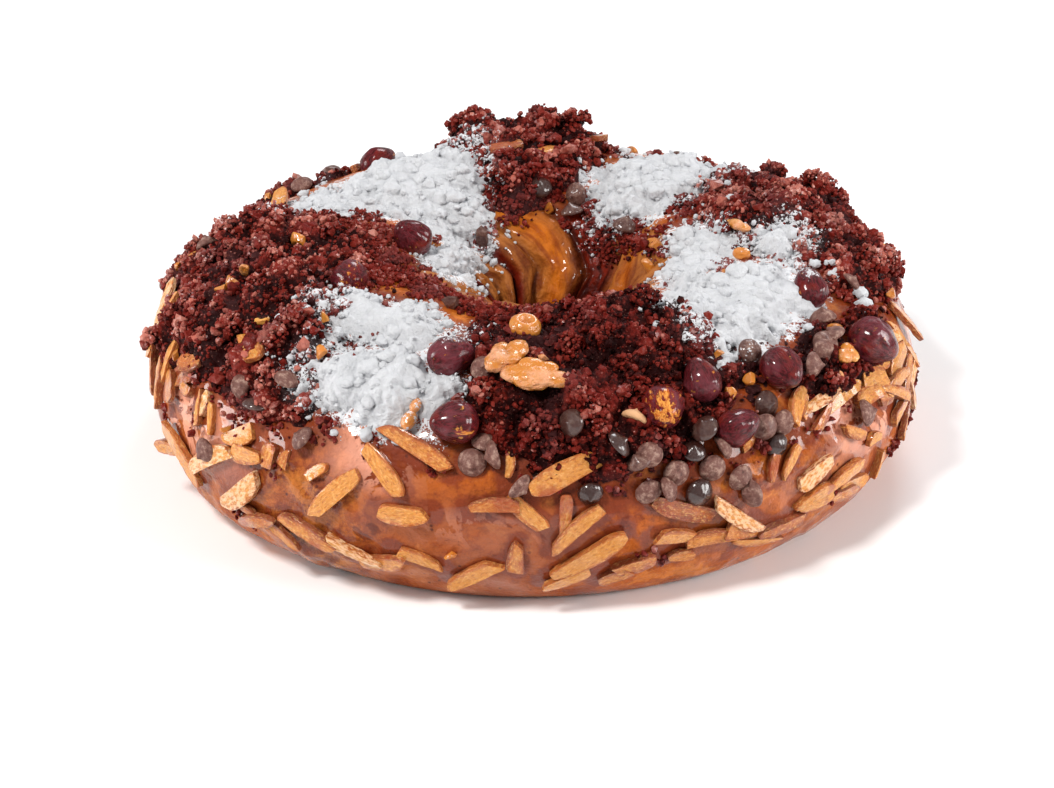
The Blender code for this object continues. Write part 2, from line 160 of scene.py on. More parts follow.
# Thin scatterings of crumb beside the heaps: turn, slope, radius in mm, how many grains.
STRAY_CRUMBS = [
    (286, -14, 4, 34), (289, -17, 3, 24), (301, -12, 2.5, 12), (317, -10, 3.5, 26), (341, -8, 6, 80),
    (335, -12, 3, 22), (205, 2, 5, 14), (215, -9, 4, 16), (226, -17, 6, 50), (199, 16, 4, 22),
    (246, 30, 3, 10), (353, -2, 7, 90), (8, 4, 6, 22), (170, 2, 6, 20), (120, 0, 6, 18), (84, 4, 6, 18),
    (300, 20, 2, 10), (310, 20, 2, 10), (192, 124, 4, 30), (104, 124, 4, 40), (150, 118, 4, 24),
    (60, 128, 4, 24), (25, 118, 5, 40), (330, 110, 6, 60), (345, 100, 5, 40), (222, 82, 3, 14),
    (190, 112, 6, 60), (199, 104, 6, 80), (207, 111, 6, 70), (215, 101, 5, 60), (223, 108, 6, 80),
    (232, 102, 6, 80), (240, 107, 5, 60), (249, 103, 6, 80), (258, 106, 6, 70), (228, 116, 5, 50),
    (212, 120, 5, 40), (352, 84, 5, 50), (2, 88, 5, 50), (338, 96, 5, 50), (184, 104, 5, 50),
    (98, 118, 5, 60), (110, 116, 4, 50), (86, 116, 4, 40), (278, 108, 8, 110), (268, 108, 7, 90),
    (288, 108, 8, 110), (298, 106, 7, 90), (308, 104, 6, 70),
    (166, 92, 7, 110), (173, 100, 6, 90), (180, 94, 7, 110), (188, 98, 7, 110), (197, 94, 7, 100),
    (206, 100, 6, 80), (30, 104, 7, 110), (20, 98, 7, 110), (10, 100, 6, 90), (38, 98, 6, 90),
    (24, 88, 7, 100), (2, 104, 5, 60), (230, 30, 6, 36), (238, 34, 5, 34), (224, 24, 6, 30),
    (216, 26, 6, 34), (246, 36, 4, 24), (256, 28, 4, 14), (292, 26, 6, 30), (304, 26, 6, 34),
    (316, 24, 6, 34), (322, 30, 6, 40), (330, 26, 5, 30), (282, 24, 6, 26), (272, 30, 5, 20),
    (170, 98, 8, 140), (178, 103, 8, 140), (186, 106, 8, 140), (194, 109, 8, 130), (203, 108, 8, 130),
    (212, 110, 8, 120), (221, 111, 8, 120), (230, 109, 8, 120), (239, 110, 7, 100), (248, 107, 7, 100),
    (256, 100, 6, 90), (16, 126, 7, 90), (24, 130, 6, 70), (34, 128, 6, 70), (8, 124, 6, 60),
    (158, 96, 8, 130), (164, 104, 8, 130), (172, 108, 7, 100), (348, 50, 7, 130), (344, 58, 6, 100),
    (352, 44, 6, 100), (340, 50, 5, 80), (48, 132, 8, 120), (40, 138, 7, 110), (55, 126, 7, 90), (30, 132, 8, 100),
    (118, 124, 6, 80), (126, 128, 5, 60), (348, 6, 6, 60), (346, -14, 6, 70), (338, -16, 5, 50),
    (66, 118, 6, 90), (58, 116, 6, 80), (50, 124, 5, 70), (44, 118, 5, 80), (72, 126, 4, 60),
    (36, 122, 6, 80), (28, 126, 5, 60), (92, 112, 6, 90), (80, 112, 6, 80), (104, 108, 6, 90),
    (74, 108, 5, 60), (318, 34, 5, 40), (344, 30, 5, 30), (232, 14, 6, 12), (214, 14, 6, 14), (340, 12, 5, 12),
]

# Large chunks of crumb that stand up from the heaps: turn, slope, radius in mm.
CHUNKS = {
    "crumbs_left": [(172, 74, 7), (180, 90, 5), (190, 72, 5.5), (166, 88, 5), (202, 62, 5), (212, 52, 4.5),
                    (186, 54, 5), (196, 46, 4.5), (222, 58, 4.5), (178, 60, 5)],
    "crumbs_right": [(22, 58, 6.5), (12, 48, 5.5), (2, 42, 5.5), (30, 66, 5), (16, 78, 5), (354, 52, 4.5),
                     (38, 52, 5), (6, 64, 5)],
    "crumbs_back": [(104, 64, 7), (97, 56, 5), (88, 62, 6.5), (80, 72, 5), (108, 80, 5), (76, 56, 5)],
    "crumbs_front": [(291, 97, 6.5), (284, 88, 6), (297, 88, 5), (277, 74, 5), (287, 66, 5.5), (279, 48, 5),
                     (262, 56, 4.5), (296, 76, 6), (302, 68, 5), (290, 34, 3.5), (270, 42, 4.5)],
}

# Each hazelnut: turn, slope, length in mm, how far its point leans and which way, how much of
# its skin has come off (mostly 0 to 0.3), and how deep it is pressed in, in mm.
HAZELNUTS = [
    (258.7, 43.5, 15.2, 60, 200, 0.11, 2.0), (254.5, 69, 14.8, 80, 20, 0.06, 2.5),
    (290, 46, 15.4, 50, 250, 0.22, 2.0), (298.5, 53.5, 14.3, 60, 100, -0.02, 2.5),
    (300.4, 34, 14, 75, 10, 0.04, 1.5), (312.6, 49, 15.4, 65, 260, 0.06, 2.0),
    (332.7, 40, 17.5, 80, 290, -0.02, 2.0), (335.7, 68.5, 14, 50, 60, -0.03, 3.0),
    (212.5, 91, 15, 70, 340, 0.16, 4.0), (172.5, 116.4, 15.5, 60, 300, 0.04, 4.0),
    (122, 50, 15, 70, 180, 0.14, 6.0), (133, 14, 15, 60, 40, 0.0, 1.5), (109, 14, 15.5, 70, 150, 0.16, 1.5),
    (77, 12, 15, 60, 240, 0.02, 1.5), (58, 21, 15, 75, 20, 0.18, 1.5), (40, 12, 15, 60, 300, 0.06, 1.5),
]
NUT_WIDTH = 0.89
PEEL_SIDE = (0.5, -0.7, 0.6)  # the side on which skin flakes off most
PEEL_TURN = 0.12  # how much more it flakes there

# Each caramelised nut: turn, slope, length, width and thickness in mm, heading, and its lobes
# (place along, beside and up in half sizes, and radius in half sizes).
CARAMEL_NUTS = [
    (268.5, 83, 10, 10, 7.5, 0, None),
    (270.5, 59, 22, 14, 10, 168, [(-0.62, 0.1, 0.1, 0.42), (0.5, -0.1, 0, 0.5), (0.05, 0.1, 0.05, 0.62),
                               (0.15, -0.45, 0.3, 0.38), (-0.25, -0.5, 0, 0.36)]),
    (265.5, 67.5, 18, 13, 10, 60, [(-0.45, 0.1, 0, 0.55), (0.42, -0.15, 0.1, 0.5), (0.1, 0.45, 0, 0.42),
                                (-0.1, -0.45, 0.2, 0.36)]),
    (251.5, 46, 11, 7.5, 7, 80, [(-0.45, 0, 0, 0.62), (0.5, 0.05, 0.15, 0.46)]),
    (326, 42, 10, 9, 7, 40, [(-0.3, 0.3, 0, 0.6), (0.45, -0.1, 0, 0.55), (0, -0.4, 0.2, 0.5)]),
    (2, 96, 14, 7, 6, 20, [(-0.6, 0, 0, 0.5), (0.05, 0.15, 0.1, 0.6), (0.62, 0, 0, 0.45)]),
]
# Smaller chopped nut: turn, slope, length in mm.
NUT_BITS = [
    (268, 62, 6), (272, 68, 5), (307, 50, 6.5), (302.5, 47, 6), (304, 62, 5.5), (188, 84, 9),
    (197, 66, 6), (200, 61, 7), (201, 57, 5), (350, 95, 6.5), (15, 125, 9), (3, 133, 8), (246, 49, 5),
    (330, 52, 6), (322, 37, 5), (204, 30, 5), (222, 20, 4), (241, 4, 3.5), (259, -8, 5), (231, 60, 6),
    (120, 45, 6), (95, 40, 7), (70, 44, 6), (45, 45, 7), (28, 30, 6), (145, 40, 6), (160, 28, 6),
    (336, 96, 5), (216, 60, 5), (180, 40, 6), (10, 36, 6), (352, 40, 6), (225, 72, 5), (82, 120, 6),
]

# Each almond sliver: turn, slope, its rise to the right as seen from in front (in degrees), its
# length and width in mm. The first list repeats the frame's, the second adds the rest with
# how far each stands off the crust (in degrees, the right end up if above 0).
SLIVERS = [
    (200, 12, 80, 17, 5.5), (211, -4, -60, 25, 7), (220.5, 3, 20, 23, 8), (226.5, -1, 38, 25, 8),
    (238, -10, -28, 20, 6), (242.5, 11, 42, 22, 6), (253, 33, -28, 25, 6.5), (252.5, 8, 0, 17, 6),
    (269.5, 11, -42, 17, 5.5), (262.5, -19, 22, 21, 5.5), (277.5, -8, 32, 26, 6), (275.5, 27, 24, 26, 7),
    (291.5, 7, -12, 22, 6.5), (299.5, 0, -32, 23, 6), (295.5, -10, 3, 18, 8), (307.5, -12, 22, 19, 6),
    (313.5, 6, 40, 17, 7), (322, 29, 42, 19, 5), (333, 20, 20, 15, 9), (345, 24, -55, 24, 6),
    (340, -3, 75, 16, 5),
]
MORE_SLIVERS = [
    (209, 34, 2, 12, 7.5, 0), (202, 24, 60, 15, 5, 8), (210, 24, -50, 7, 4.5, 0),
    (215, 20, 80, 12, 3, 4), (218, 20, 88, 12, 3, 0), (224.5, 20.5, 12, 14, 7, 0),
    (227, 14, -12, 14, 6, 4), (231, 17, 78, 8, 6, 0), (234, 18, 70, 6, 4, 0), (207, -8, -18, 13, 6, -16),
    (226, -10, -30, 14, 5, 0), (229, -14, 10, 19, 5, 5), (239, 17, 30, 9, 3.5, 4),
    (254, -14, -20, 16, 6, 0), (265, 12, 0, 17, 6.5, -1), (274.5, 10, 85, 13, 4, 0),
    (268, -8, 86, 12, 5, 0), (276.5, 4, 42, 22, 6, 3), (248.5, 24, -48, 20, 6, 4),
    (266.5, 30, 80, 9, 4, 0), (275, -20, 18, 17, 5, -4), (282, -22, 24, 12, 5, 8),
    (290, -5, 0, 15, 6, -4), (291, -15, 12, 9, 5, 4), (309, 14, 66, 13, 4.5, 6), (306, 15, 80, 11, 4, 0),
    (314.5, 33, 85, 12, 5, 0), (316, 26, 60, 12, 4, 5), (334, 15, -20, 17, 5, 8), (335, 33, 12, 13, 8, 6),
    (327, 3, 20, 7, 5, 0), (319.5, -4, 34, 20, 6, 0), (323, -12, 12, 16, 5, 3), (330, -12, 80, 11, 5, 0),
    (303, 27, 40, 9, 4, 0), (193, 28, 62, 25, 6, 5), (188, 30, 66, 20, 5, 9), (219, 50, -52, 16, 7, 8),
    (155, 62, 62, 15, 6, 22), (97, 88, 10, 13, 7, 4), (87, 93, 20, 12, 6, 4), (74, 75, -70, 15, 7, 16),
    (233, -16, -34, 15, 5, 6), (245, -13, -24, 20, 5.5, 3),
    (249, -18, 8, 16, 5, 6), (284, -15, 16, 14, 6, 0), (300, -8, -10, 15, 6, -5), (303, -15, 6, 18, 5, 6),
    (313, -6, 24, 15, 5, 9), (336, 4, 62, 12, 6, 6), (344, 8, 80, 14, 5.5, 6),
    (341, 32, 20, 12, 6, 8), (351, 28, -62, 16, 5.5, 14), (328, 22, 24, 14, 6.5, 5),
    (322, 14, -16, 12, 5, 4), (339, 24, 70, 15, 6, 10), (341, 14, 84, 15, 5, 4), (330, 26, 12, 15, 8, 4),
    (336, 17, 52, 16, 5.5, 8), (342, 6, -80, 14, 5, 6), (317, 33, 34, 18, 5, 6), (313, 33, 84, 13, 6, 4),
    (334, 32, -20, 10, 7, 6), (313, -5, 30, 15, 6, 6), (320, -13, 14, 16, 5, 4), (208, 25, 20, 12, 7, 4),
    (205, 18, -70, 14, 5, 8), (196, 14, 84, 18, 5, 6), (215, 23, 60, 9, 6, 0),
]
SLIVER_THICKNESS = 0.0031
SYRUP_SHADE_REACH = 0.0016  # how far syrup and painted contact shade reach round a slice
SLIVER_STIFFNESS = 0.7  # 0 follows the crust, 1 is straight
FRONT_VIEW_UP = np.array((0.0, 0.46, 0.89))  # up, for someone who looks down on the front

# Each chocolate drop: turn, slope, how far it leans and which way, and its darkness (0 to 1).
DROPS = [
    (261.5, 31, 25, 270, 0.1), (263, 38, 40, 80, 0.1), (265, 34, 80, 200, 0.0), (268, 23, 75, 320, 0.0),
    (278, 19, 30, 270, 0.9), (286.5, 31, 35, 250, 0.25), (285, 28, 60, 120, 0.5), (290.5, 22.5, 20, 270, 0.15),
    (286.2, 17, 25, 270, 0.05), (288.6, 16.5, 55, 20, 0.05), (296, 21.5, 20, 250, 0.1),
    (297.5, 28, 70, 20, 0.1), (293.5, 13, 15, 270, 1.0), (300, 15, 20, 280, 0.1), (301.5, 8, 80, 180, 0.3),
    (293.5, 29, 30, 90, 0.9), (307, 23, 25, 270, 0.95), (309, 31, 30, 290, 0.1), (305.5, 32, 40, 250, 0.4),
    (308, 40, 25, 260, 0.7), (325, 18, 30, 0, 0.2), (318, 46, 50, 300, 0.3), (323, 48, 30, 240, 0.3),
    (327, 50, 60, 100, 0.3), (311, 61, 30, 260, 0.5), (325, 50, 20, 200, 0.4), (346, 58, 35, 320, 0.2),
    (261.5, 65, 30, 250, 0.3), (285, 43, 80, 60, -1.0), (222, 38, 25, 250, 0.2), (226.5, 33, 65, 90, 0.7),
    (219.5, 8, 25, 270, 0.2), (70, 123, 40, 300, 0.6), (71, 113, 60, 60, 0.5), (87, 112, 15, 90, 0.8),
    (40, 125, 40, 250, 0.6), (178, 52, 30, 180, 0.1), (229, 46, 45, 60, 0.3), (236, 28, 40, 150, 0.4),
    (296, 36, 50, 140, 0.7), (282, 35, 55, 30, 0.8), (276, 44, 40, 200, 0.7), (331, 58, 40, 80, 0.3),
    (145, 22, 30, 250, 0.2), (128, 32, 50, 60, 0.5), (115, 30, 30, 270, 0.3), (100, 22, 40, 180, 0.4),
    (88, 34, 35, 300, 0.2), (66, 30, 40, 240, 0.5), (50, 22, 30, 280, 0.2), (30, 18, 50, 100, 0.3),
    (14, 26, 30, 250, 0.4), (165, 30, 35, 290, 0.2), (138, 44, 40, 60, 0.3), (60, 48, 30, 250, 0.6),
    (172, 20, 45, 160, 0.3), (155, 14, 30, 280, 0.2), (92, 8, 30, 270, 0.2),
]
# Broken flat pieces of chocolate: turn, slope, length, width and thickness in mm, tilt, heading.
SHARDS = [(244, 100, 14, 9, 4.5, 60, 100), (121, 129, 13, 7, 5, 75, 90)]


class DoughSettings(bpy.types.PropertyGroup):
    """Sizes and colours of the baked ring."""

    ring_steps: IntProperty(name="Steps round the ring", description="Mesh steps round the ring",
                            default=450, min=48)
    section_steps: IntProperty(name="Steps over the dough", description="Mesh steps over the dough",
                               default=180, min=24)
    undulation: FloatProperty(name="Undulation", description="Height of the crust's broad bumps",
                              default=0.0011, min=0.0, unit="LENGTH")
    golden: FloatVectorProperty(name="Golden", description="Crust where the glaze is thin",
                                default=(0.42, 0.090, 0.007, 1.0), size=4, subtype="COLOR")
    browned: FloatVectorProperty(name="Browned", description="Crust as most of it is baked",
                                 default=(0.150, 0.030, 0.012, 1.0), size=4, subtype="COLOR")
    scorched: FloatVectorProperty(name="Scorched", description="Darkest spots and folds",
                                  default=(0.070, 0.008, 0.004, 1.0), size=4, subtype="COLOR")


class CrumbSettings(bpy.types.PropertyGroup):
    """Sizes and colours of the chocolate crumb."""

    clumps: IntProperty(name="Clumps", description="Clumps of loose crumb on the heaps",
                        default=720, min=0)
    grains: IntProperty(name="Grains", description="Single grains all over the heaps",
                        default=15000, min=0)
    grain: FloatProperty(name="Grain", description="Mean radius of a loose grain",
                         default=0.00060, min=0.0002, unit="LENGTH")
    # Painted shade for the crumb's deep gaps.
    crevice_shade: FloatVectorProperty(name="Crevice", description="Crumb in its deep gaps",
                                 default=(0.016, 0.0006, 0.0005, 1.0), size=4, subtype="COLOR")
    crumb: FloatVectorProperty(name="Crumb", description="Crumb as most of it looks",
                               default=(0.195, 0.017, 0.010, 1.0), size=4, subtype="COLOR")
    # Pale grains: partly drier crumb, partly painted light on the tops.
    dry_and_lit: FloatVectorProperty(name="Dry crumb", description="Driest, palest grains",
                             default=(0.52, 0.185, 0.135, 1.0), size=4, subtype="COLOR")


class SugarSettings(bpy.types.PropertyGroup):
    """Sizes and colour of the icing sugar."""

    clumps: IntProperty(name="Loose clumps", description="Loose clumps of sugar on each large heap",
                        default=150, min=0)
    puffs: FloatProperty(name="Puffs", description="Billows for each square degree of a heap",
                         default=0.075, min=0.0)
    sugar: FloatVectorProperty(name="Sugar", description="Icing sugar",
                               default=(0.675, 0.683, 0.705, 1.0), size=4, subtype="COLOR")


class ToppingSettings(bpy.types.PropertyGroup):
    """Colours of the nuts, the almonds and the chocolate."""

    skin: FloatVectorProperty(name="Hazelnut skin", description="Red-brown nut skin",
                              default=(0.135, 0.008, 0.013, 1.0), size=4, subtype="COLOR")
    kernel: FloatVectorProperty(name="Kernel", description="Nut where the skin has come off",
                                default=(0.88, 0.36, 0.065, 1.0), size=4, subtype="COLOR")
    caramel: FloatVectorProperty(name="Caramel", description="Caramelised nut",
                                 default=(0.80, 0.38, 0.075, 1.0), size=4, subtype="COLOR")
    almond: FloatVectorProperty(name="Almond", description="Lightly toasted almond",
                                default=(0.64, 0.245, 0.040, 1.0), size=4, subtype="COLOR")
    toasted: FloatVectorProperty(name="Toasted almond", description="Almond's browned parts",
                                 default=(0.46, 0.115, 0.012, 1.0), size=4, subtype="COLOR")
    chocolate: FloatVectorProperty(name="Chocolate", description="Dull chocolate drop",
                                   default=(0.160, 0.065, 0.050, 1.0), size=4, subtype="COLOR")
    dark_chocolate: FloatVectorProperty(name="Dark chocolate", description="Glossy chocolate drop",
                                        default=(0.034, 0.010, 0.007, 1.0), size=4, subtype="COLOR")
    drop_width: FloatProperty(name="Drop width", description="Width of a chocolate drop",
                              default=0.0086, min=0.002, unit="LENGTH")


class StageSettings(bpy.types.PropertyGroup):
    """Floor, light and camera."""

    floor_size: FloatProperty(name="Floor size", description="Side of the floor",
                              default=8.0, min=1.0, unit="LENGTH")
    sky: FloatProperty(name="Sky", description="Strength of the even light from all round",
                       default=0.27, min=0.0)
    key: FloatProperty(name="Key light", description="Power of the main soft light, in watts",
                       default=15.0, min=0.0)
    lens: FloatProperty(name="Lens", description="Focal length in millimetres", default=79.3, min=10.0)


# ---- The dough's form ----


def swell(turn, middle, width):
    """A soft bump round the ring, 1 at its middle."""
    away = (turn - middle + 180) % 360 - 180
    return np.exp(-((away / width) ** 2))


def crust(turn, slope):
    """Points of the plain dough at arrays of turns and slopes."""
    turn, slope = np.broadcast_arrays(np.asarray(turn, float), np.asarray(slope, float))
    angle, over = np.radians(turn), np.radians(slope)
    uneven = 0.0016 * np.cos(2 * angle) + 0.0008 * np.sin(3 * angle + 2.0)
    outer = RING_RADIUS + uneven + 0.0016 * swell(turn, 216, 20)
    aside = HOLE_OFFSET * np.cos(angle)
    inner = aside + np.sqrt(HOLE_RADIUS**2 - HOLE_OFFSET**2 + aside**2)
    dips = 0.003 * swell(turn, 138, 26) + 0.0015 * swell(turn, 50, 20)
    height = CRUST_HEIGHT - 0.002 * np.sin(angle) - dips
    across, up = np.cos(over), np.sin(over)
    waist = WIDEST * height
    out = np.sign(across) * np.abs(across) ** np.where(up > 0, TOP_OUT, LOW_OUT)
    above = waist + (height - waist) * np.abs(up) ** TOP_UP
    below = np.maximum(0.0, waist - FLATTEN * waist * np.abs(up) ** LOW_DOWN)
    on_wall = np.maximum(0.0, -across) ** 1.5
    pleat = PLEAT_DEPTH * np.cos(PLEATS * angle + 1.5 * np.sin(2 * angle)) * on_wall
    radius = (outer + inner) / 2 + (outer - inner) / 2 * out + pleat
    flat = [radius * np.cos(angle), radius * np.sin(angle), np.where(up > 0, above, below)]
    return RING_CENTRE + np.stack(flat, axis=-1)


def twisted(turn, slope):
    """The turn at which a fold that passes each place starts at the top of the wall."""
    down = np.clip(slope, HOLE_TWIST_FROM, HOLE_TWIST_TO) - HOLE_TWIST_FROM
    return turn + HOLE_TWIST * down + 4.0 * np.sin(np.radians(slope * 3 + turn))


def unit(vectors):
    return vectors / np.linalg.norm(vectors, axis=-1, keepdims=True)


def crust_frame(turn, slope):
    """Points, and unit vectors round the ring, over it towards the hole, and out of it."""
    step = 0.5
    round_it = unit(crust(turn + step, slope) - crust(turn - step, slope))
    over_it = crust(turn, slope + step) - crust(turn, slope - step)
    outward = unit(np.cross(round_it, over_it))
    return crust(turn, slope), round_it, np.cross(outward, round_it), outward


def sliver_way(round_it, over_it, rise):
    """How far round and how far over the crust a slice points, which rises so much from the front."""
    front_axes = np.array(((1.0, 0.0, 0.0), FRONT_VIEW_UP)) @ np.stack([round_it, over_it], axis=-1)
    return unit(np.linalg.solve(front_axes, (cos(radians(rise)), sin(radians(rise)))))


def noise_of(points, scale, shift=0.0):
    """Soft noise at each point, mostly between -0.6 and 0.6."""
    return np.array([noise.noise(place) for place in (points * scale + shift).tolist()])


def cells_of(points, scale, shift=0.0):
    """Round-topped lumps: 1 at the middle of each cell, about 0 in the gaps between them."""
    places = (points * scale + shift).tolist()
    away = np.array([noise.voronoi(place)[0][0] for place in places])
    return np.clip(1.0 - 1.4 * away**1.6, 0.0, 1.0)


def lumps_of(points, scale, shift=0.0):
    """Round-topped lumps of unequal height."""
    heights = []
    for place in (points * scale + shift).tolist():
        away, middles = noise.voronoi(place)
        tall = 0.75 + 0.9 * noise.noise(middles[0] * 3.7)
        heights.append(tall * max(0.0, 1.0 - 1.4 * away[0] ** 1.6))
    return np.array(heights)


def relief(point, turn, slope, undulation=0.0011):
    """How far the baked crust stands off the plain dough."""
    lift = undulation * noise_of(point, 30) + 0.45 * undulation * noise_of(point, 85, 5.0)
    lift += 0.22 * undulation * noise_of(point, 190, 2.0)
    for at_turn, at_slope, tall, radius in BLISTERS:
        away = np.linalg.norm(point - crust(at_turn, at_slope), axis=-1)
        lift += tall * MM * np.exp(-((away / (radius * MM)) ** 2))
    on_wall = np.clip((slope - 112) / 25, 0.0, 1.0)
    start = twisted(turn, slope)
    for at_turn, depth, width in FOLDS:
        lift -= depth * MM * on_wall * swell(start, at_turn, width)
    return lift * np.clip(point[..., 2] / 0.006, 0.0, 1.0)


def dressed(turn, slope, lift=0.0):
    """Points a height above the baked crust."""
    point, _, _, outward = crust_frame(turn, slope)
    return point + outward * (relief(point, turn, slope) + lift)[..., None]


def spread(heap, turn, slope):
    """How far out in a heap each place lies: 0 in its middle, 1 at its lobed rim."""
    aside = ((turn - heap.turn + 180) % 360 - 180) / heap.half_turn
    along = (slope - heap.slope) / heap.half_slope
    around = np.arctan2(along, aside)
    return np.hypot(aside, along) / lobes(heap, around)


def lobes(heap, around):
    return 1 + 0.08 * np.sin(3 * around + heap.turn) + 0.06 * np.sin(5 * around + heap.slope)


def heap_rise(heap, point, out):
    """A heap's height over the crust, as the frame has it."""
    rise = heap.thick * MM * (1 + 0.35 * noise_of(point, 90))
    for turn, slope, extra, radius in heap.lumps:
        away = np.linalg.norm(point - crust(turn, slope), axis=-1)
        rise += extra * MM * np.exp(-((away / (radius * MM)) ** 2))
    return rise * np.clip(1 - out**3, 0.0, 1.0)


def crumb_rise(turn, slope):
    """The height of the crumb at each place, 0 where there is none."""
    point = crust(turn, slope)
    rise = np.zeros(point.shape[:-1])
    for heap in CRUMB_HEAPS:
        rise = np.maximum(rise, heap_rise(heap, point, spread(heap, turn, slope)))
    return rise * beside_nuts(point)


def beside_nuts(point):
    """How much of a heap is left at each place: 1, and less under and round a whole nut."""
    left = np.ones(point.shape[:-1])
    for turn, slope, length, *_ in HAZELNUTS:
        away = np.linalg.norm(point - crust(turn, slope), axis=-1)
        left *= 1 - 0.75 * np.exp(-((away / (length * 0.55 * MM)) ** 4))
    return left


def stains_at(point):
    """How dark the syrup has stained each place: round the larger blisters."""
    stain = np.zeros(point.shape[:-1])
    for turn, slope, tall, radius in BLISTERS:
        away = np.linalg.norm(point - crust(turn, slope), axis=-1) / (radius * MM)
        stain = np.maximum(stain, min(tall, 1.0) * np.exp(-(((away - 0.7) / 0.45) ** 2)))
    return stain * np.clip(0.55 + 1.3 * noise_of(point, 170, 4.0), 0.0, 1.0)


def rustic_at(turn, slope):
    """How lumpy the crust is at each place."""
    low = np.exp(-((np.maximum(0.0, slope - 8) / 14) ** 2))
    return np.clip(low * sum(much * swell(turn, middle, width) for middle, width, much in RUSTIC), 0.0, 1.0)


def soak_at(turn, slope):
    """How far the crumb's syrup has soaked the crust: 1 under a heap, fading to 0 round it."""
    soak = np.zeros(np.shape(turn))
    for heap in CRUMB_HEAPS:
        mean = (heap.half_turn + heap.half_slope) / 2
        away = np.maximum(0.0, spread(heap, turn, slope) - 0.98) * mean / 6.5
        soak = np.maximum(soak, np.exp(-(away**2)))
    return soak


def syrup_shade_at(point):
    """How much syrup and painted contact shade lie at each place: 1 beside a slice of almond or a drop, fading out.
    """
    syrup_shade = np.zeros(len(point))
    drops = [(turn, slope, 0, 1, 8) for turn, slope, *_ in DROPS]
    for turn, slope, rise, length, width, *_ in SLIVERS + MORE_SLIVERS + drops:
        middle, round_it, over_it, _ = crust_frame(turn, slope)
        along, across = sliver_way(round_it, over_it, rise)
        axis = round_it * along + over_it * across
        away = point - middle
        reach = np.clip(away @ axis, -length * MM / 2, length * MM / 2)
        away = np.linalg.norm(away - reach[:, None] * axis, axis=-1) - width * MM / 2
        syrup_shade = np.maximum(syrup_shade, np.exp(-((np.maximum(away, 0.0) / SYRUP_SHADE_REACH) ** 2)))
    return syrup_shade


def dust_at(turn, slope):
    """How much loose sugar lies at each place: 1 at a sugar heap, fading to 0 round it."""
    dust = np.zeros(np.shape(turn))
    for heap in SUGAR_HEAPS:
        mean = (heap.half_turn + heap.half_slope) / 2
        away = np.maximum(0.0, spread(heap, turn, slope) - 0.85) * mean / 9.0
        dust = np.maximum(dust, np.exp(-(away**2)))
    return dust


# ---- Meshes ----


def points_of(mesh):
    points = np.empty(len(mesh.vertices) * 3)
    mesh.vertices.foreach_get("co", points)
    return points.reshape(-1, 3)


def move_points(mesh, points):
    mesh.vertices.foreach_set("co", np.ascontiguousarray(points).ravel())
    mesh.update()


def set_value(mesh, name, values):
    """Stores a number for each point, which a material reads by name."""
    mesh.attributes.new(name, "FLOAT", "POINT").data.foreach_set("value", np.ravel(values))


def set_vector(mesh, name, vectors):
    mesh.attributes.new(name, "FLOAT_VECTOR", "POINT").data.foreach_set("vector", np.ravel(vectors))


def mesh_of(bm, name):
    mesh = bpy.data.meshes.new(name)
    bm.to_mesh(mesh)
    bm.free()
    return mesh


def template(bm):
    """A small shape as arrays of points and triangles, to be copied many times."""
    bmesh.ops.triangulate(bm, faces=bm.faces)
    bm.verts.index_update()
    points = np.array([vert.co[:] for vert in bm.verts])
    faces = np.array([[vert.index for vert in face.verts] for face in bm.faces])
    bm.free()
    return points, faces


def joined_mesh(name, points, faces, values=None):
    """One mesh of many copies. points holds each copy's own points, faces the triangles that
    all of them share, and values the numbers or vectors to store for each copy or point."""
    copies, size = points.shape[:2]
    triangles = (faces[None] + size * np.arange(copies)[:, None, None]).reshape(-1, 3)
    mesh = bpy.data.meshes.new(name)
    mesh.vertices.add(copies * size)
    mesh.loops.add(triangles.size)
    mesh.polygons.add(len(triangles))
    mesh.vertices.foreach_set("co", points.ravel())
    mesh.loops.foreach_set("vertex_index", triangles.ravel().astype(np.int32))
    mesh.polygons.foreach_set("loop_start", np.arange(0, triangles.size, 3, dtype=np.int32))
    mesh.update(calc_edges=True)
    for key, stored in (values or {}).items():
        if stored.ndim == 1:
            stored = np.repeat(stored, size)
        if stored.ndim == 3:
            set_vector(mesh, key, stored)
        else:
            set_value(mesh, key, stored)
    return mesh


def add_piece(name, mesh, material, replaced=(), smooth=True, crisp=0):
    """A finished piece, riding on the part's body. Edges past the crisp angle stay sharp."""
    mesh.materials.append(material)
    if smooth:
        mesh.shade_smooth()
    else:
        mesh.shade_flat()
    if crisp:
        mesh.set_sharp_from_angle(angle=radians(crisp))
    piece = bpy.data.objects.new(name, mesh)
    bpy.context.scene.collection.objects.link(piece)
    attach(piece, "root")
    if replaced:
        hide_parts(*replaced)
    return piece


def random_turns(rng, count):
    """Random rotation matrices."""
    w, x, y, z = unit(rng.normal(size=(count, 4))).T
    rows = [
        [1 - 2 * (y * y + z * z), 2 * (x * y - z * w), 2 * (x * z + y * w)],
        [2 * (x * y + z * w), 1 - 2 * (x * x + z * z), 2 * (y * z - x * w)],
        [2 * (x * z - y * w), 2 * (y * z + x * w), 1 - 2 * (x * x + y * y)],
    ]
    return np.moveaxis(np.array(rows), 2, 0)


def leaning_axes(turn, slope, lean, heading):
    """A shape's own axes as columns, its Z leaning off the crust's outward direction."""
    point, round_it, over_it, outward = crust_frame(turn, slope)
    way = radians(heading)
    side = round_it * cos(way) + over_it * sin(way)
    up = outward * cos(radians(lean)) + side * sin(radians(lean))
    beside = unit(np.cross(up, side))
    return point, outward, np.stack([np.cross(beside, up), beside, up], axis=-1)


def grain_variants(rng, detail, rough, count):
    """Knobbly grains that share their faces."""
    bm = bmesh.new()
    bmesh.ops.create_icosphere(bm, subdivisions=detail, radius=1.0)
    points, faces = template(bm)
    scale = 1 + rng.uniform(-rough, rough, size=(count, len(points), 1))
    stretch = rng.uniform(0.75, 1.25, size=(count, 1, 3))
    return points[None] * scale * stretch, faces


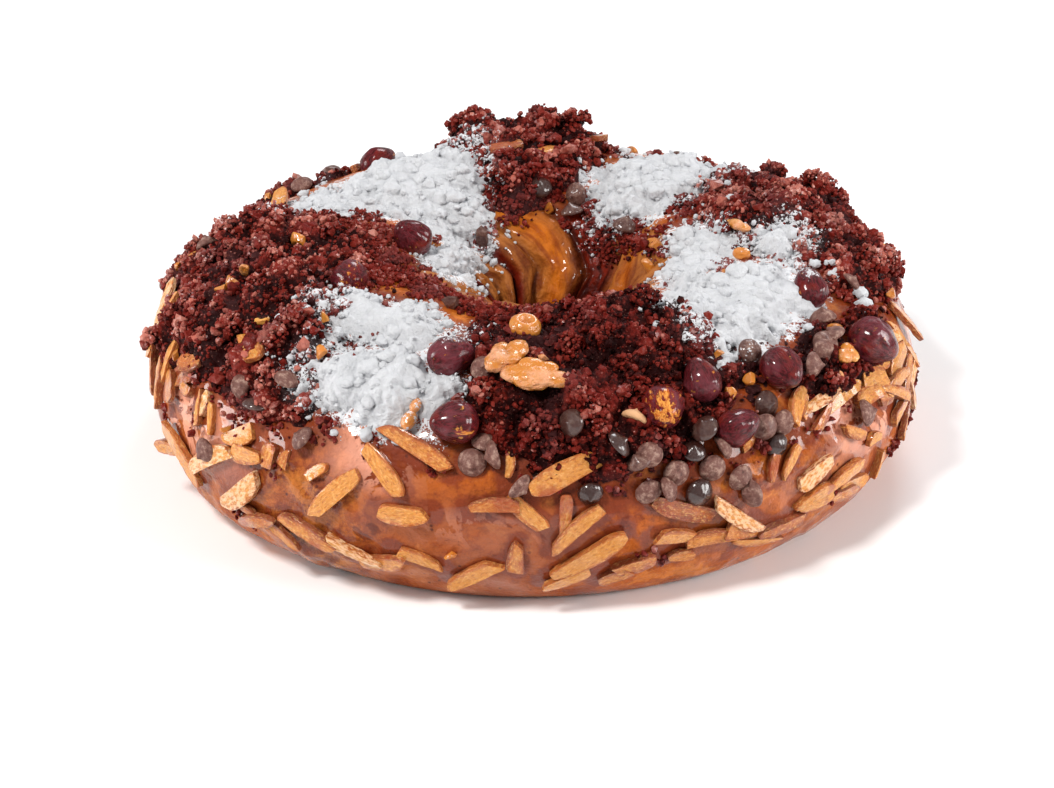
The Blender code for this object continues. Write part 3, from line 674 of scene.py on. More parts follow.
def scatter(rng, variants, places, radii):
    """Copies of the variants, turned at random, at their places and sizes."""
    picks = rng.integers(len(variants), size=len(places))
    turned = np.einsum("nij,nvj->nvi", random_turns(rng, len(places)), variants[picks])
    return turned * radii[:, None, None] + places[:, None, :]


# ---- Materials ----


class Shading:
    """Adds nodes to a tree and links every input that is given another node's socket."""

    def __init__(self, tree):
        self.tree = tree

    def add(self, kind, inputs=None, **settings):
        node = self.tree.nodes.new(kind)
        node.location = (180 * len(self.tree.nodes), 0)
        for key, value in settings.items():
            setattr(node, key, value)
        for key, value in (inputs or {}).items():
            if isinstance(value, bpy.types.NodeSocket):
                self.tree.links.new(value, node.inputs[key])
            else:
                node.inputs[key].default_value = value
        return node

    def noise(self, vector, scale, detail=3.0, roughness=0.55, distortion=0.0):
        inputs = {"Vector": vector, "Scale": scale, "Detail": detail, "Roughness": roughness,
                  "Distortion": distortion}
        return self.add("ShaderNodeTexNoise", inputs).outputs["Fac"]

    def cells(self, vector, scale, feature="F1"):
        inputs = {"Vector": vector, "Scale": scale}
        return self.add("ShaderNodeTexVoronoi", inputs, feature=feature).outputs["Distance"]

    def span(self, value, low, high, to_low=0.0, to_high=1.0):
        inputs = {"Value": value, "From Min": low, "From Max": high, "To Min": to_low, "To Max": to_high}
        node = self.add("ShaderNodeMapRange", inputs, interpolation_type="SMOOTHSTEP")
        return node.outputs["Result"]

    def math(self, operation, first, second=0.0):
        return self.add("ShaderNodeMath", {0: first, 1: second}, operation=operation).outputs[0]

    def blend(self, factor, first, second, blend_type="MIX"):
        inputs = {0: factor, 6: first, 7: second}
        return self.add("ShaderNodeMix", inputs, data_type="RGBA", blend_type=blend_type).outputs[2]

    def attribute(self, name, output="Fac"):
        return self.add("ShaderNodeAttribute", attribute_name=name).outputs[output]

    def object_places(self):
        return self.add("ShaderNodeTexCoord").outputs["Object"]

    def bump(self, height, distance, strength=1.0):
        inputs = {"Height": height, "Distance": distance, "Strength": strength}
        return self.add("ShaderNodeBump", inputs).outputs["Normal"]

    def group(self, group, inputs):
        return self.add("ShaderNodeGroup", inputs, node_tree=group).outputs


def new_group(name, inputs, outputs):
    """A node group with named sockets, its Shading, and its input and output nodes."""
    tree = bpy.data.node_groups.new(name, "ShaderNodeTree")
    for socket, kind in inputs:
        tree.interface.new_socket(name=socket, in_out="INPUT", socket_type=f"NodeSocket{kind}")
    for socket, kind in outputs:
        tree.interface.new_socket(name=socket, in_out="OUTPUT", socket_type=f"NodeSocket{kind}")
    shading = Shading(tree)
    return tree, shading, shading.add("NodeGroupInput").outputs, shading.add("NodeGroupOutput").inputs


def icing_dust_group():
    """Flecks of sugar over a colour, thick where Dust is high and gone where it is 0."""
    made = bpy.data.node_groups.get("Icing dust")
    if made:
        return made
    tree, s, given, wanted = new_group(
        "Icing dust",
        [("Color", "Color"), ("Dust", "Float"), ("Vector", "Vector"), ("Sugar", "Color")],
        [("Color", "Color"), ("Mask", "Float")],
    )
    coarse = s.noise(given["Vector"], 260, detail=2.0)
    fine = s.noise(given["Vector"], 1100, detail=2.0, roughness=0.7)
    grain = s.math("ADD", s.math("MULTIPLY", coarse, 0.45), s.math("MULTIPLY", fine, 0.55))
    needed = s.span(given["Dust"], 0.0, 1.0, 0.70, 0.40)
    above = s.math("SUBTRACT", grain, needed)
    present = s.span(given["Dust"], 0.03, 0.25)
    mask = s.math("MULTIPLY", s.span(above, 0.0, 0.05), present)
    haze = s.math("MULTIPLY", present, s.span(given["Dust"], 0.3, 1.0, 0.0, 0.10))
    mask = s.math("MINIMUM", s.math("ADD", mask, haze), 1.0)
    colour = s.blend(mask, given["Color"], given["Sugar"])
    tree.links.new(colour, wanted["Color"])
    tree.links.new(mask, wanted["Mask"])
    return tree


def toasting_group():
    """Baked colour from pale to browned to scorched, in broad clouds with finer mottling."""
    made = bpy.data.node_groups.get("Toasting")
    if made:
        return made
    tree, s, given, wanted = new_group(
        "Toasting",
        [("Vector", "Vector"), ("Scale", "Float"), ("Heat", "Float"), ("Pale", "Color"),
         ("Browned", "Color"), ("Scorched", "Color")],
        [("Color", "Color"), ("Heat", "Float")],
    )
    clouds = s.noise(given["Vector"], given["Scale"], detail=2.0)
    mottle = s.noise(given["Vector"], s.math("MULTIPLY", given["Scale"], 5.0), detail=4.0, roughness=0.65)
    mixed = s.math("ADD", s.math("MULTIPLY", clouds, 0.6), s.math("MULTIPLY", mottle, 0.4))
    heat = s.math("ADD", mixed, s.math("SUBTRACT", given["Heat"], 0.5))
    browned = s.blend(s.span(heat, 0.28, 0.52), given["Pale"], given["Browned"])
    colour = s.blend(s.span(heat, 0.56, 0.86), browned, given["Scorched"])
    tree.links.new(colour, wanted["Color"])
    tree.links.new(heat, wanted["Heat"])
    return tree


def syrup_group():
    """Where a thin glaze has pooled: a weight for the coat, and the height of its surface."""
    made = bpy.data.node_groups.get("Syrup")
    if made:
        return made
    tree, s, given, wanted = new_group(
        "Syrup",
        [("Vector", "Vector"), ("Scale", "Float"), ("Least", "Float"), ("Most", "Float")],
        [("Weight", "Float"), ("Height", "Float")],
    )
    pools = s.noise(given["Vector"], given["Scale"], detail=3.0, roughness=0.6, distortion=0.4)
    weight = s.span(pools, 0.34, 0.62, given["Least"], given["Most"])
    ripples = s.noise(given["Vector"], s.math("MULTIPLY", given["Scale"], 6.0), detail=2.0)
    height = s.math("ADD", s.math("MULTIPLY", pools, 0.7), s.math("MULTIPLY", ripples, 0.3))
    tree.links.new(weight, wanted["Weight"])
    tree.links.new(height, wanted["Height"])
    return tree


def new_material(name, **constants):
    """A material with its Principled BSDF's constant values set on the shader's own sockets."""
    made = bpy.data.materials.new(name)
    made.use_nodes = True
    shader = made.node_tree.nodes["Principled BSDF"]
    for key, value in constants.items():
        shader.inputs[key.replace("_", " ").title().replace("Ior", "IOR")].default_value = value
    return made, Shading(made.node_tree), shader.inputs


def wire(shading, shader, sockets):
    """Links sockets to a shader's inputs by name."""
    for key, socket in sockets.items():
        shading.tree.links.new(socket, shader[key])


def dough_material(dough, sugar):
    """Browned crust under a thin syrup glaze, golden and folded in the hole."""
    made, s, shader = new_material("Glazed crust", coat_roughness=0.06, coat_ior=1.42,
                                   specular_ior_level=0.10)
    places = s.object_places()
    toast = s.group(toasting_group(), {
        "Vector": places, "Scale": 21.0, "Heat": s.attribute("heat"), "Pale": dough.golden,
        "Browned": dough.browned, "Scorched": dough.scorched,
    })
    fine = s.noise(places, 260.0, detail=4.0, roughness=0.7)
    colour = s.blend(s.span(fine, 0.50, 0.78, 0.0, 0.55), toast["Color"], dough.scorched)
    colour = s.blend(s.span(fine, 0.46, 0.28, 0.0, 0.22), colour, (0.50, 0.16, 0.035, 1.0))
    mottle = s.noise(places, 62.0, detail=5.0, roughness=0.68)
    colour = s.blend(s.span(mottle, 0.52, 0.62, 0.0, 0.6), colour, (0.16, 0.018, 0.007, 1.0))
    colour = s.blend(s.span(mottle, 0.46, 0.38, 0.0, 0.6), colour, (0.70, 0.22, 0.035, 1.0))
    # Dusky pink-brown, partly painted pinkish sheen, on the low front and sides.
    rosy_sheen = s.math("MULTIPLY", s.attribute("rosy_sheen"), s.span(mottle, 0.40, 0.62, 0.95, 0.5))
    colour = s.blend(rosy_sheen, colour, (0.27, 0.078, 0.042, 1.0))
    # Darker red-brown under the heaps, and painted contact shade round the slivers and drops.
    soaked = s.math("ADD", s.attribute("soak"), s.math("MULTIPLY", s.math("SUBTRACT", mottle, 0.5), 2.2))
    soaked = s.span(soaked, 0.22, 0.92, 0.0, 0.85)
    colour = s.blend(soaked, colour, (0.19, 0.026, 0.006, 1.0))
    rustic = s.attribute("rustic")
    clots = s.noise(places, 125.0, detail=6.0, roughness=0.72)
    ochre = s.blend(s.span(clots, 0.44, 0.54), (0.47, 0.145, 0.018, 1.0), (0.13, 0.016, 0.003, 1.0))
    colour = s.blend(s.math("MULTIPLY", rustic, s.span(mottle, 0.36, 0.54, 0.9, 0.55)), colour, ochre)
    # Pale pink patches: set glaze, and on the sides painted sheen.
    candied_and_sheen = s.span(s.noise(places, 48.0, detail=5.0, roughness=0.62, distortion=0.6), 0.47, 0.495)
    candied_and_sheen = s.math("MULTIPLY", candied_and_sheen, s.attribute("candied_and_sheen"))
    colour = s.blend(s.math("MULTIPLY", candied_and_sheen, 0.85), colour, (0.80, 0.36, 0.24, 1.0))
    specks = s.span(s.cells(places, 330.0), 0.10, 0.26, 1.0, 0.0)
    patches = s.span(s.noise(places, 120.0, detail=2.0), 0.52, 0.66)
    colour = s.blend(s.math("MULTIPLY", specks, patches), colour, (0.07, 0.010, 0.006, 1.0))
    stained = s.math("ADD", s.attribute("stain"), s.math("SUBTRACT", s.math("MULTIPLY", fine, 0.8), 0.4))
    stained = s.span(stained, 0.42, 0.66, 0.0, 0.7)
    colour = s.blend(stained, colour, (0.10, 0.010, 0.004, 1.0))
    streaks = s.noise(s.attribute("runs", "Vector"), 3.0, detail=3.0, roughness=0.5)
    tan = s.blend(s.span(streaks, 0.40, 0.64), (0.40, 0.135, 0.028, 1.0), (0.17, 0.038, 0.008, 1.0))
    colour = s.blend(s.attribute("wall"), colour, tan)
    amber = s.blend(s.span(streaks, 0.36, 0.66), (0.60, 0.155, 0.007, 1.0), (0.30, 0.055, 0.003, 1.0))
    colour = s.blend(s.attribute("amber"), colour, amber)
    caramel = s.blend(s.span(streaks, 0.38, 0.66), (0.16, 0.010, 0.002, 1.0), (0.035, 0.002, 0.0008, 1.0))
    colour = s.blend(s.attribute("caramel"), colour, caramel)
    # Painted shade deep in the folds of the hole's wall.
    colour = s.blend(s.attribute("fold"), colour, (0.05, 0.004, 0.0015, 1.0))
    dust = s.group(icing_dust_group(), {
        "Color": colour, "Dust": s.attribute("dust"), "Vector": places, "Sugar": sugar.sugar,
    })
    syrup = s.group(syrup_group(), {"Vector": places, "Scale": 38.0, "Least": 0.0, "Most": 0.9})
    bare = s.math("SUBTRACT", 1.0, dust["Mask"])
    pores = s.noise(places, 620.0, detail=3.0)
    dimples = s.span(s.cells(places, 150.0), 0.0, 0.45)
    height = s.math("ADD", s.math("MULTIPLY", syrup["Height"], 1.5), s.math("MULTIPLY", pores, 0.28))
    height = s.math("ADD", height, s.math("MULTIPLY", mottle, 1.2))
    height = s.math("ADD", height, s.math("MULTIPLY", candied_and_sheen, 0.25))
    height = s.math("ADD", height, s.math("MULTIPLY", s.math("MULTIPLY", clots, rustic), 1.6))
    height = s.math("ADD", height, s.math("MULTIPLY", dimples, 0.10))
    wire(s, shader, {
        "Base Color": dust["Color"],
        "Roughness": s.math("ADD", s.span(toast["Heat"], 0.3, 0.8, 0.5, 0.34),
                            s.math("MULTIPLY", dust["Mask"], 0.4)),
        "Coat Weight": s.math("MULTIPLY", s.math("MAXIMUM", syrup["Weight"], s.math("MAXIMUM", soaked, rustic)),
                              s.math("MULTIPLY", bare, s.span(s.attribute("wall"), 0.0, 1.0, 1.0, 0.5))),
        "Normal": s.bump(height, 0.0019),
    })
    return made


def crumb_material(crumb, sugar):
    """Moist, granular chocolate crumb with painted shade in its gaps, painted light on its tops, and pale specks that
    are partly sugar and partly painted glints.
    """
    made, s, shader = new_material("Chocolate crumb", specular_ior_level=0.08, coat_roughness=0.3)
    places = s.object_places()
    grainy = s.noise(places, 620.0, detail=4.0, roughness=0.7)
    clouds = s.noise(places, 55.0, detail=2.0)
    tone = s.math("ADD", s.attribute("tone"), s.math("MULTIPLY", s.math("SUBTRACT", grainy, 0.5), 1.1))
    tone = s.math("ADD", tone, s.math("MULTIPLY", s.math("SUBTRACT", clouds, 0.5), 0.9))
    # Tone goes from painted shade in the gaps, through the crumb colour, to pale tops that are partly painted light.
    colour = s.blend(s.span(tone, 0.0, 0.5), crumb.crevice_shade, crumb.crumb)
    colour = s.blend(s.span(tone, 0.55, 1.15), colour, crumb.dry_and_lit)
    warm = s.span(s.noise(places, 80.0, detail=2.0), 0.45, 0.62, 0.0, 0.5)
    colour = s.blend(warm, colour, (0.26, 0.045, 0.014, 1.0), "SOFT_LIGHT")
    # Greyish-purple patches: painted cool sheen.
    dull = s.span(s.noise(places, 45.0, detail=2.0), 0.52, 0.66, 0.0, 0.35)
    colour = s.blend(dull, colour, (0.11, 0.035, 0.036, 1.0))
    # Pale pink specks: partly sugar, partly painted glints.
    specks = s.span(s.cells(places, 900.0), 0.10, 0.20, 0.35, 0.0)
    colour = s.blend(specks, colour, (0.46, 0.20, 0.15, 1.0))
    dust = s.group(icing_dust_group(), {
        "Color": colour, "Dust": s.attribute("dust"), "Vector": places, "Sugar": sugar.sugar,
    })
    wire(s, shader, {
        "Base Color": dust["Color"],
        "Coat Weight": s.span(tone, 0.30, 1.0, 0.0, 0.8),
        "Roughness": s.span(grainy, 0.34, 0.62, 0.75, 0.42),
        "Normal": s.bump(grainy, 0.0007),
    })
    return made


def sugar_material(sugar):
    """Clumped icing sugar, soft white with a faint blue in its shade."""
    made, s, shader = new_material("Icing sugar", roughness=0.95, subsurface_weight=0.12,
                                   subsurface_scale=0.0015, specular_ior_level=0.3)
    shader["Subsurface Radius"].default_value = (1.0, 1.0, 1.0)
    places = s.object_places()
    powder = s.noise(places, 420.0, detail=5.0, roughness=0.7)
    crumbly = s.noise(places, 1500.0, detail=3.0, roughness=0.7)
    height = s.math("ADD", powder, s.math("MULTIPLY", crumbly, 0.45))
    shade = s.span(powder, 0.3, 0.62, 0.4, 0.0)
    colour = s.blend(shade, sugar.sugar, (0.56, 0.57, 0.61, 1.0))
    wire(s, shader, {"Base Color": colour, "Normal": s.bump(height, 0.0014)})
    return made


def hazelnut_material(toppings, sugar):
    """Mottled red-brown skin, flaked off in places, with a little syrup and sugar."""
    made, s, shader = new_material("Hazelnut", coat_roughness=0.14, coat_ior=1.45, specular_ior_level=0.14)
    along = s.attribute("grain", "Vector")
    places = s.object_places()
    veins = s.noise(along, 5.0, detail=5.0, roughness=0.65)
    clouds = s.noise(places, 130.0, detail=3.0)
    skin = s.blend(s.span(veins, 0.38, 0.60), (0.040, 0.0012, 0.002, 1.0), toppings.skin)
    # Purplish patches: painted sheen, in random places.
    skin = s.blend(s.span(clouds, 0.50, 0.66, 0.0, 0.5), skin, (0.22, 0.045, 0.062, 1.0))
    skin = s.blend(s.span(clouds, 0.46, 0.34, 0.0, 0.6), skin, (0.22, 0.014, 0.006, 1.0))
    flaked = s.math("MULTIPLY", s.math("ADD", s.noise(places, 150.0, detail=4.0), s.noise(along, 2.4)), 0.5)
    flaked = s.math("ADD", flaked, s.attribute("peel"))
    flecks = s.span(s.noise(places, 420.0, detail=3.0), 0.66, 0.72, 0.0, 0.7)
    peeled = s.math("MAXIMUM", s.span(flaked, 0.80, 0.83), flecks)
    kernel = s.blend(s.span(veins, 0.4, 0.62), toppings.kernel, (0.50, 0.10, 0.012, 1.0))
    rim = s.math("MULTIPLY", s.span(flaked, 0.745, 0.80), s.span(flaked, 0.83, 0.80))
    skin = s.blend(rim, skin, (0.22, 0.012, 0.006, 1.0))
    colour = s.blend(peeled, skin, kernel)
    dust = s.group(icing_dust_group(), {
        "Color": colour, "Dust": s.attribute("dust"), "Vector": places, "Sugar": sugar.sugar,
    })
    syrup = s.group(syrup_group(), {"Vector": places, "Scale": 160.0, "Least": 0.1, "Most": 0.95})
    height = s.math("ADD", s.math("MULTIPLY", veins, 1.1), s.math("MULTIPLY", peeled, -0.5))
    height = s.math("ADD", height, s.math("MULTIPLY", syrup["Height"], 0.5))
    wire(s, shader, {
        "Base Color": dust["Color"],
        "Roughness": s.math("ADD", s.span(veins, 0.35, 0.65, 0.5, 0.3), s.math("MULTIPLY", dust["Mask"], 0.3)),
        "Coat Weight": s.math("MULTIPLY", syrup["Weight"], s.math("SUBTRACT", 1.0, dust["Mask"])),
        "Normal": s.bump(height, 0.0010),
    })
    return made


def caramel_material(toppings, sugar):
    """Caramelised nut: amber and glossy, cloudy pink where sugar clings."""
    made, s, shader = new_material("Caramelised nut", coat_roughness=0.1, subsurface_weight=0.1,
                                   subsurface_scale=0.0015)
    places = s.object_places()
    heat = s.math("ADD", 0.50, s.math("MULTIPLY", s.attribute("tone"), 0.2))
    toast = s.group(toasting_group(), {
        "Vector": places, "Scale": 110.0, "Heat": heat, "Pale": toppings.caramel,
        "Browned": (0.58, 0.20, 0.026, 1.0), "Scorched": (0.24, 0.05, 0.007, 1.0),
    })
    cloudy = s.span(s.noise(places, 120.0, detail=4.0, roughness=0.65), 0.46, 0.62, 0.0, 0.75)
    cloudy = s.math("MULTIPLY", cloudy, s.attribute("cloud"))
    colour = s.blend(cloudy, toast["Color"], (0.74, 0.36, 0.20, 1.0))
    dust = s.group(icing_dust_group(), {
        "Color": colour, "Dust": s.attribute("dust"), "Vector": places, "Sugar": sugar.sugar,
    })
    syrup = s.group(syrup_group(), {"Vector": places, "Scale": 160.0, "Least": 0.5, "Most": 1.0})
    rough = s.noise(places, 700.0, detail=3.0)
    height = s.math("ADD", syrup["Height"], s.math("MULTIPLY", rough, s.math("MULTIPLY", cloudy, 0.6)))
    wire(s, shader, {
        "Base Color": dust["Color"],
        "Roughness": s.span(cloudy, 0.0, 0.6, 0.30, 0.6),
        "Coat Weight": s.math("MULTIPLY", syrup["Weight"], s.span(cloudy, 0.0, 0.6, 1.0, 0.15)),
        "Normal": s.bump(height, 0.0011),
    })
    return made


def almond_material(toppings, sugar):
    """Toasted almond: pale on its cut faces, browned along its edges, syrupy in spots."""
    made, s, shader = new_material("Toasted almond", coat_roughness=0.10, coat_ior=1.45,
                                   subsurface_weight=0.12, subsurface_scale=0.002, specular_ior_level=0.3)
    along = s.attribute("grain", "Vector")
    places = s.object_places()
    rim = s.span(s.attribute("edge"), 0.45, 1.0, 0.0, 0.46)
    heat = s.math("ADD", s.attribute("tone"), rim)
    toast = s.group(toasting_group(), {
        "Vector": along, "Scale": 1.1, "Heat": heat, "Pale": toppings.almond,
        "Browned": toppings.toasted, "Scorched": (0.24, 0.040, 0.008, 1.0),
    })
    fibres = s.noise(along, 4.0, detail=3.0, roughness=0.6)
    colour = s.blend(s.span(fibres, 0.50, 0.68, 0.0, 0.55), toast["Color"], (0.84, 0.45, 0.15, 1.0))
    colour = s.blend(s.span(fibres, 0.46, 0.32, 0.0, 0.6), colour, (0.38, 0.085, 0.012, 1.0))
    stains = s.noise(places, 90.0, detail=3.0, roughness=0.55)
    stained = s.math("ADD", stains, s.math("MULTIPLY", s.attribute("tone"), 0.22))
    stained = s.span(stained, 0.64, 0.76, 0.0, 0.75)
    colour = s.blend(stained, colour, (0.34, 0.050, 0.008, 1.0))
    sugary = s.math("MULTIPLY", s.attribute("sugary"), s.span(s.noise(along, 3.0, detail=4.0), 0.40, 0.60))
    colour = s.blend(sugary, colour, (0.90, 0.56, 0.32, 1.0))
    dust = s.group(icing_dust_group(), {
        "Color": colour, "Dust": s.attribute("dust"), "Vector": places, "Sugar": sugar.sugar,
    })
    syrup = s.group(syrup_group(), {"Vector": places, "Scale": 90.0, "Least": 0.0, "Most": 1.0})
    height = s.math("ADD", s.math("MULTIPLY", fibres, 1.0), s.math("MULTIPLY", syrup["Height"], 0.5))
    wire(s, shader, {
        "Base Color": dust["Color"],
        "Roughness": s.span(fibres, 0.3, 0.7, 0.34, 0.55),
        "Coat Weight": s.math("MULTIPLY", syrup["Weight"], s.math("SUBTRACT", 1.0, dust["Mask"])),
        "Normal": s.bump(height, 0.0009),
    })
    return made


def chocolate_material(toppings, sugar):
    """Chocolate drops: most dull with a pale bloom, some dark and glossy."""
    made, s, shader = new_material("Chocolate drop", coat_roughness=0.12, specular_ior_level=0.3)
    along = s.attribute("grain", "Vector")
    places = s.object_places()
    dark = s.attribute("dark")
    bloom = s.noise(along, 2.2, detail=5.0, roughness=0.7)
    dull = s.blend(s.span(bloom, 0.46, 0.70), toppings.chocolate, (0.40, 0.25, 0.195, 1.0))
    dull = s.blend(s.span(bloom, 0.32, 0.46, 0.8, 0.0), dull, (0.060, 0.020, 0.014, 1.0))
    glossy = s.span(dark, 0.25, 0.9)
    colour = s.blend(glossy, dull, toppings.dark_chocolate)
    colour = s.blend(s.span(dark, -0.9, -0.2, 1.0, 0.0), colour, (0.72, 0.40, 0.20, 1.0))
    dust = s.group(icing_dust_group(), {
        "Color": colour, "Dust": s.attribute("dust"), "Vector": places, "Sugar": sugar.sugar,
    })
    scuffs = s.noise(along, 6.0, detail=3.0)
    wire(s, shader, {
        "Base Color": dust["Color"],
        "Roughness": s.math("ADD", s.span(dark, 0.2, 0.9, 0.42, 0.22), s.math("MULTIPLY", scuffs, 0.15)),
        "Coat Weight": s.math("MULTIPLY", glossy, s.math("SUBTRACT", 1.0, dust["Mask"])),
        "Normal": s.bump(s.math("ADD", bloom, s.math("MULTIPLY", scuffs, 0.3)), 0.0006),
    })
    return made


# ---- Pieces ----


def dough_mesh(dough):
    """The ring: a circle spun round, its points moved onto the baked crust."""
    bm = bmesh.new()
    bmesh.ops.create_circle(bm, segments=dough.section_steps, radius=0.5)
    bmesh.ops.rotate(bm, verts=bm.verts, cent=(0, 0, 0), matrix=Matrix.Rotation(pi / 2, 3, "X"))
    bmesh.ops.translate(bm, verts=bm.verts, vec=(1, 0, 0))
    bmesh.ops.spin(bm, geom=bm.verts[:] + bm.edges[:], cent=(0, 0, 0), axis=(0, 0, 1), angle=2 * pi,
                   steps=dough.ring_steps, use_merge=True)
    bmesh.ops.recalc_face_normals(bm, faces=bm.faces)
    mesh = mesh_of(bm, "glazed_bread")
    x, y, z = points_of(mesh).T
    turn = np.degrees(np.arctan2(y, x))
    share = (np.degrees(np.arctan2(z, np.hypot(x, y) - 1.0)) + 180) / 360
    under, seen_from = 0.24, -52  # the underside's share of the steps, and where it ends
    slope = np.where(
        share < under,
        -180 + (180 + seen_from) * share / under,
        seen_from + (180 - seen_from) * (share - under) / (1 - under),
    )
    point, _, _, outward = crust_frame(turn, slope)
    lift = relief(point, turn, slope, dough.undulation)
    wall = np.clip((slope - 112) / 10, 0.0, 1.0)
    crumpled = 0.0007 * noise_of(point, 130, 1.0) + 0.0004 * noise_of(point, 330, 6.0)
    rustic = rustic_at(turn, slope)
    coarse = (0.00038 + 0.0010 * rustic) * noise_of(point, 150, 9.0)
    coarse += (0.00022 + 0.0006 * rustic) * noise_of(point, 330, 4.0)
    lift += (coarse + wall * crumpled) * np.clip(point[:, 2] / 0.006, 0.0, 1.0)
    move_points(mesh, point + outward * lift[:, None])

    # How deep each place lies in a fold, for the painted shade there.
    fold = np.zeros(len(turn))
    start = twisted(turn, slope)
    for at_turn, depth, width in FOLDS:
        fold = np.maximum(fold, swell(start, at_turn, width * 0.6) * depth / 5.5)
    swirl = start + 4.0 * noise_of(point, 60, 3.0)
    set_value(mesh, "wall", wall)
    set_value(mesh, "fold", fold * wall * 0.85)
    set_value(mesh, "amber", wall * sum(swell(swirl, middle, width) for middle, width in AMBER_RUNS))
    caramel = sum(swell(swirl, middle, width) for middle, width in CARAMEL_RUNS)
    set_value(mesh, "caramel", wall * np.clip(caramel * 1.3, 0.0, 1.0))
    runs = np.stack([np.radians(swirl) * 3, slope / 45, np.zeros(len(turn))], axis=-1)
    set_vector(mesh, "runs", runs)
    baked = 0.50 + 0.22 * np.clip((-8 - slope) / 20, 0.0, 1.0)
    set_value(mesh, "heat", baked + sum(hotter * swell(turn, middle, width) for middle, width, hotter in BAKING))
    set_value(mesh, "stain", stains_at(point))
    # The soak value holds the crumb's syrup stain and the painted contact shade round slivers and drops.
    set_value(mesh, "soak", np.maximum(soak_at(turn, slope), syrup_shade_at(point)))
    # Pale patches of set glaze, with painted sheen on the sides at 331 and 210.
    candied_and_sheen = np.zeros(len(turn))
    for at_turn, at_slope, wide, tall, much in CANDIED_AND_SHEEN:
        candied_and_sheen = np.maximum(candied_and_sheen, much * swell(turn, at_turn, wide) * np.exp(-(((slope - at_slope) / tall) ** 4)))
    set_value(mesh, "candied_and_sheen", candied_and_sheen)
    set_value(mesh, "rustic", rustic)
    # Pink-brown patches, partly painted sheen, kept low on the side of the ring.
    rosy_sheen = sum(much * swell(turn, middle, width) for middle, width, much in ROSY_SHEEN)
    set_value(mesh, "rosy_sheen", rosy_sheen * np.exp(-((np.maximum(0.0, slope - 8) / 12) ** 2)))
    set_value(mesh, "dust", dust_at(turn, slope) * 0.8)
    return mesh


def heap_shell(heap, detail, reach=1.0):
    """A closed ball laid over a heap's disc: its mesh, and for each point its turn, its slope,
    how far out it lies, and whether it is on top. Its underside takes few of the points."""
    bm = bmesh.new()
    bmesh.ops.create_icosphere(bm, subdivisions=detail, radius=1.0)
    mesh = mesh_of(bm, heap.name)
    x, y, z = points_of(mesh).T
    fall, top_fall = 1 - z, 1.78
    top = fall < top_fall
    out = np.where(top, np.sqrt(fall / top_fall), np.sqrt(np.maximum(0.0, 2 - fall) / (2 - top_fall)))
    out = out * reach
    around = np.arctan2(y, x)
    wide = out * lobes(heap, around)
    turn = heap.turn + heap.half_turn * wide * np.cos(around)
    slope = heap.slope + heap.half_slope * wide * np.sin(around)
    return mesh, turn, slope, out, top


def crumb_relief(point):
    """Mounds, clumps and grains of crumb: 0 in the gaps, towards 1 on the tallest."""
    mounds = 0.36 * lumps_of(point, 62, 9.0) + 0.35 * lumps_of(point, 135, 2.0)
    return mounds + 0.21 * lumps_of(point, 300, 8.0) + 0.08 * cells_of(point, 760, 5.0)


def crumb_top(heap, point, out):
    """A crumb heap's surface: its height over the crust, and its clumps."""
    rough = crumb_relief(point)
    rise = heap_rise(heap, point, out) * beside_nuts(point)
    ragged = np.clip((1.0 - out + 0.30 * noise_of(point, 120)) / 0.22, 0.0, 1.0)
    over = rise + (CLUMP_HEIGHT * rough - CLUMP_SINK) * MM
    return over * ragged - RIM_SINK * (1 - ragged), rough


def crumb_bed_mesh(heap, detail):
    """The heap's own relief, on which the loose grains lie."""
    mesh, turn, slope, out, top = heap_shell(heap, detail, reach=1.04)
    point, _, _, outward = crust_frame(turn, slope)
    over, rough = crumb_top(heap, point, out)
    lift = np.where(top, np.maximum(over, -HEAP_ROOT), -HEAP_ROOT)
    move_points(mesh, point + outward * (relief(point, turn, slope) + lift)[:, None])
    # Tone follows the relief: painted shade low in the gaps, painted light on the mounds.
    set_value(mesh, "tone", -0.50 + 1.35 * rough)
    set_value(mesh, "dust", dust_at(turn, slope) * 0.7)
    return mesh


def heap_places(rng, heap, count, reach):
    """Random places in a heap, thinning out towards its reach."""
    out = np.sqrt(rng.uniform(size=count * 2)) * reach
    keep = rng.uniform(size=count * 2) > np.clip((out - 0.9) / (reach - 0.9 + 1e-6), 0, 1) ** 0.7
    out = out[keep][:count]
    around = rng.uniform(0, 2 * pi, size=len(out))
    wide = out * lobes(heap, around)
    return heap.turn + heap.half_turn * wide * np.cos(around), heap.slope + heap.half_slope * wide * np.sin(around)


def laid_toppings():
    """The middles and half sizes of all that lies on the heaps and must stay in sight."""
    rows = [(t, s, length * 0.55, length * 0.4) for t, s, length, *_ in HAZELNUTS]
    rows += [(t, s, length * 0.55, 5.0) for t, s, length, *_ in CARAMEL_NUTS]
    rows += [(t, s, length * 0.5, 3.0) for t, s, length in NUT_BITS]
    rows += [(t, s, length * 0.36, 3.5) for t, s, _, length, *_ in SLIVERS + MORE_SLIVERS]
    rows += [(t, s, 4.4, 3.0) for t, s, *_ in DROPS]
    rows += [(t, s, length * 0.45, 3.0) for t, s, length, *_ in SHARDS]
    turn, slope, half, up = np.array(rows, float).T
    point, _, _, outward = crust_frame(turn, slope)
    bed = crumb_rise(turn, slope)
    return point + outward * (bed * 0.8 + up * MM)[:, None], half * MM


def clear_of(places, sizes, middles, halves):
    """Which places have room for a clump of their size beside the toppings."""
    away = np.linalg.norm(places[:, None, :] - middles[None], axis=-1)
    return np.all(away > halves[None] * 0.68 + sizes[:, None] * 0.35, axis=1)


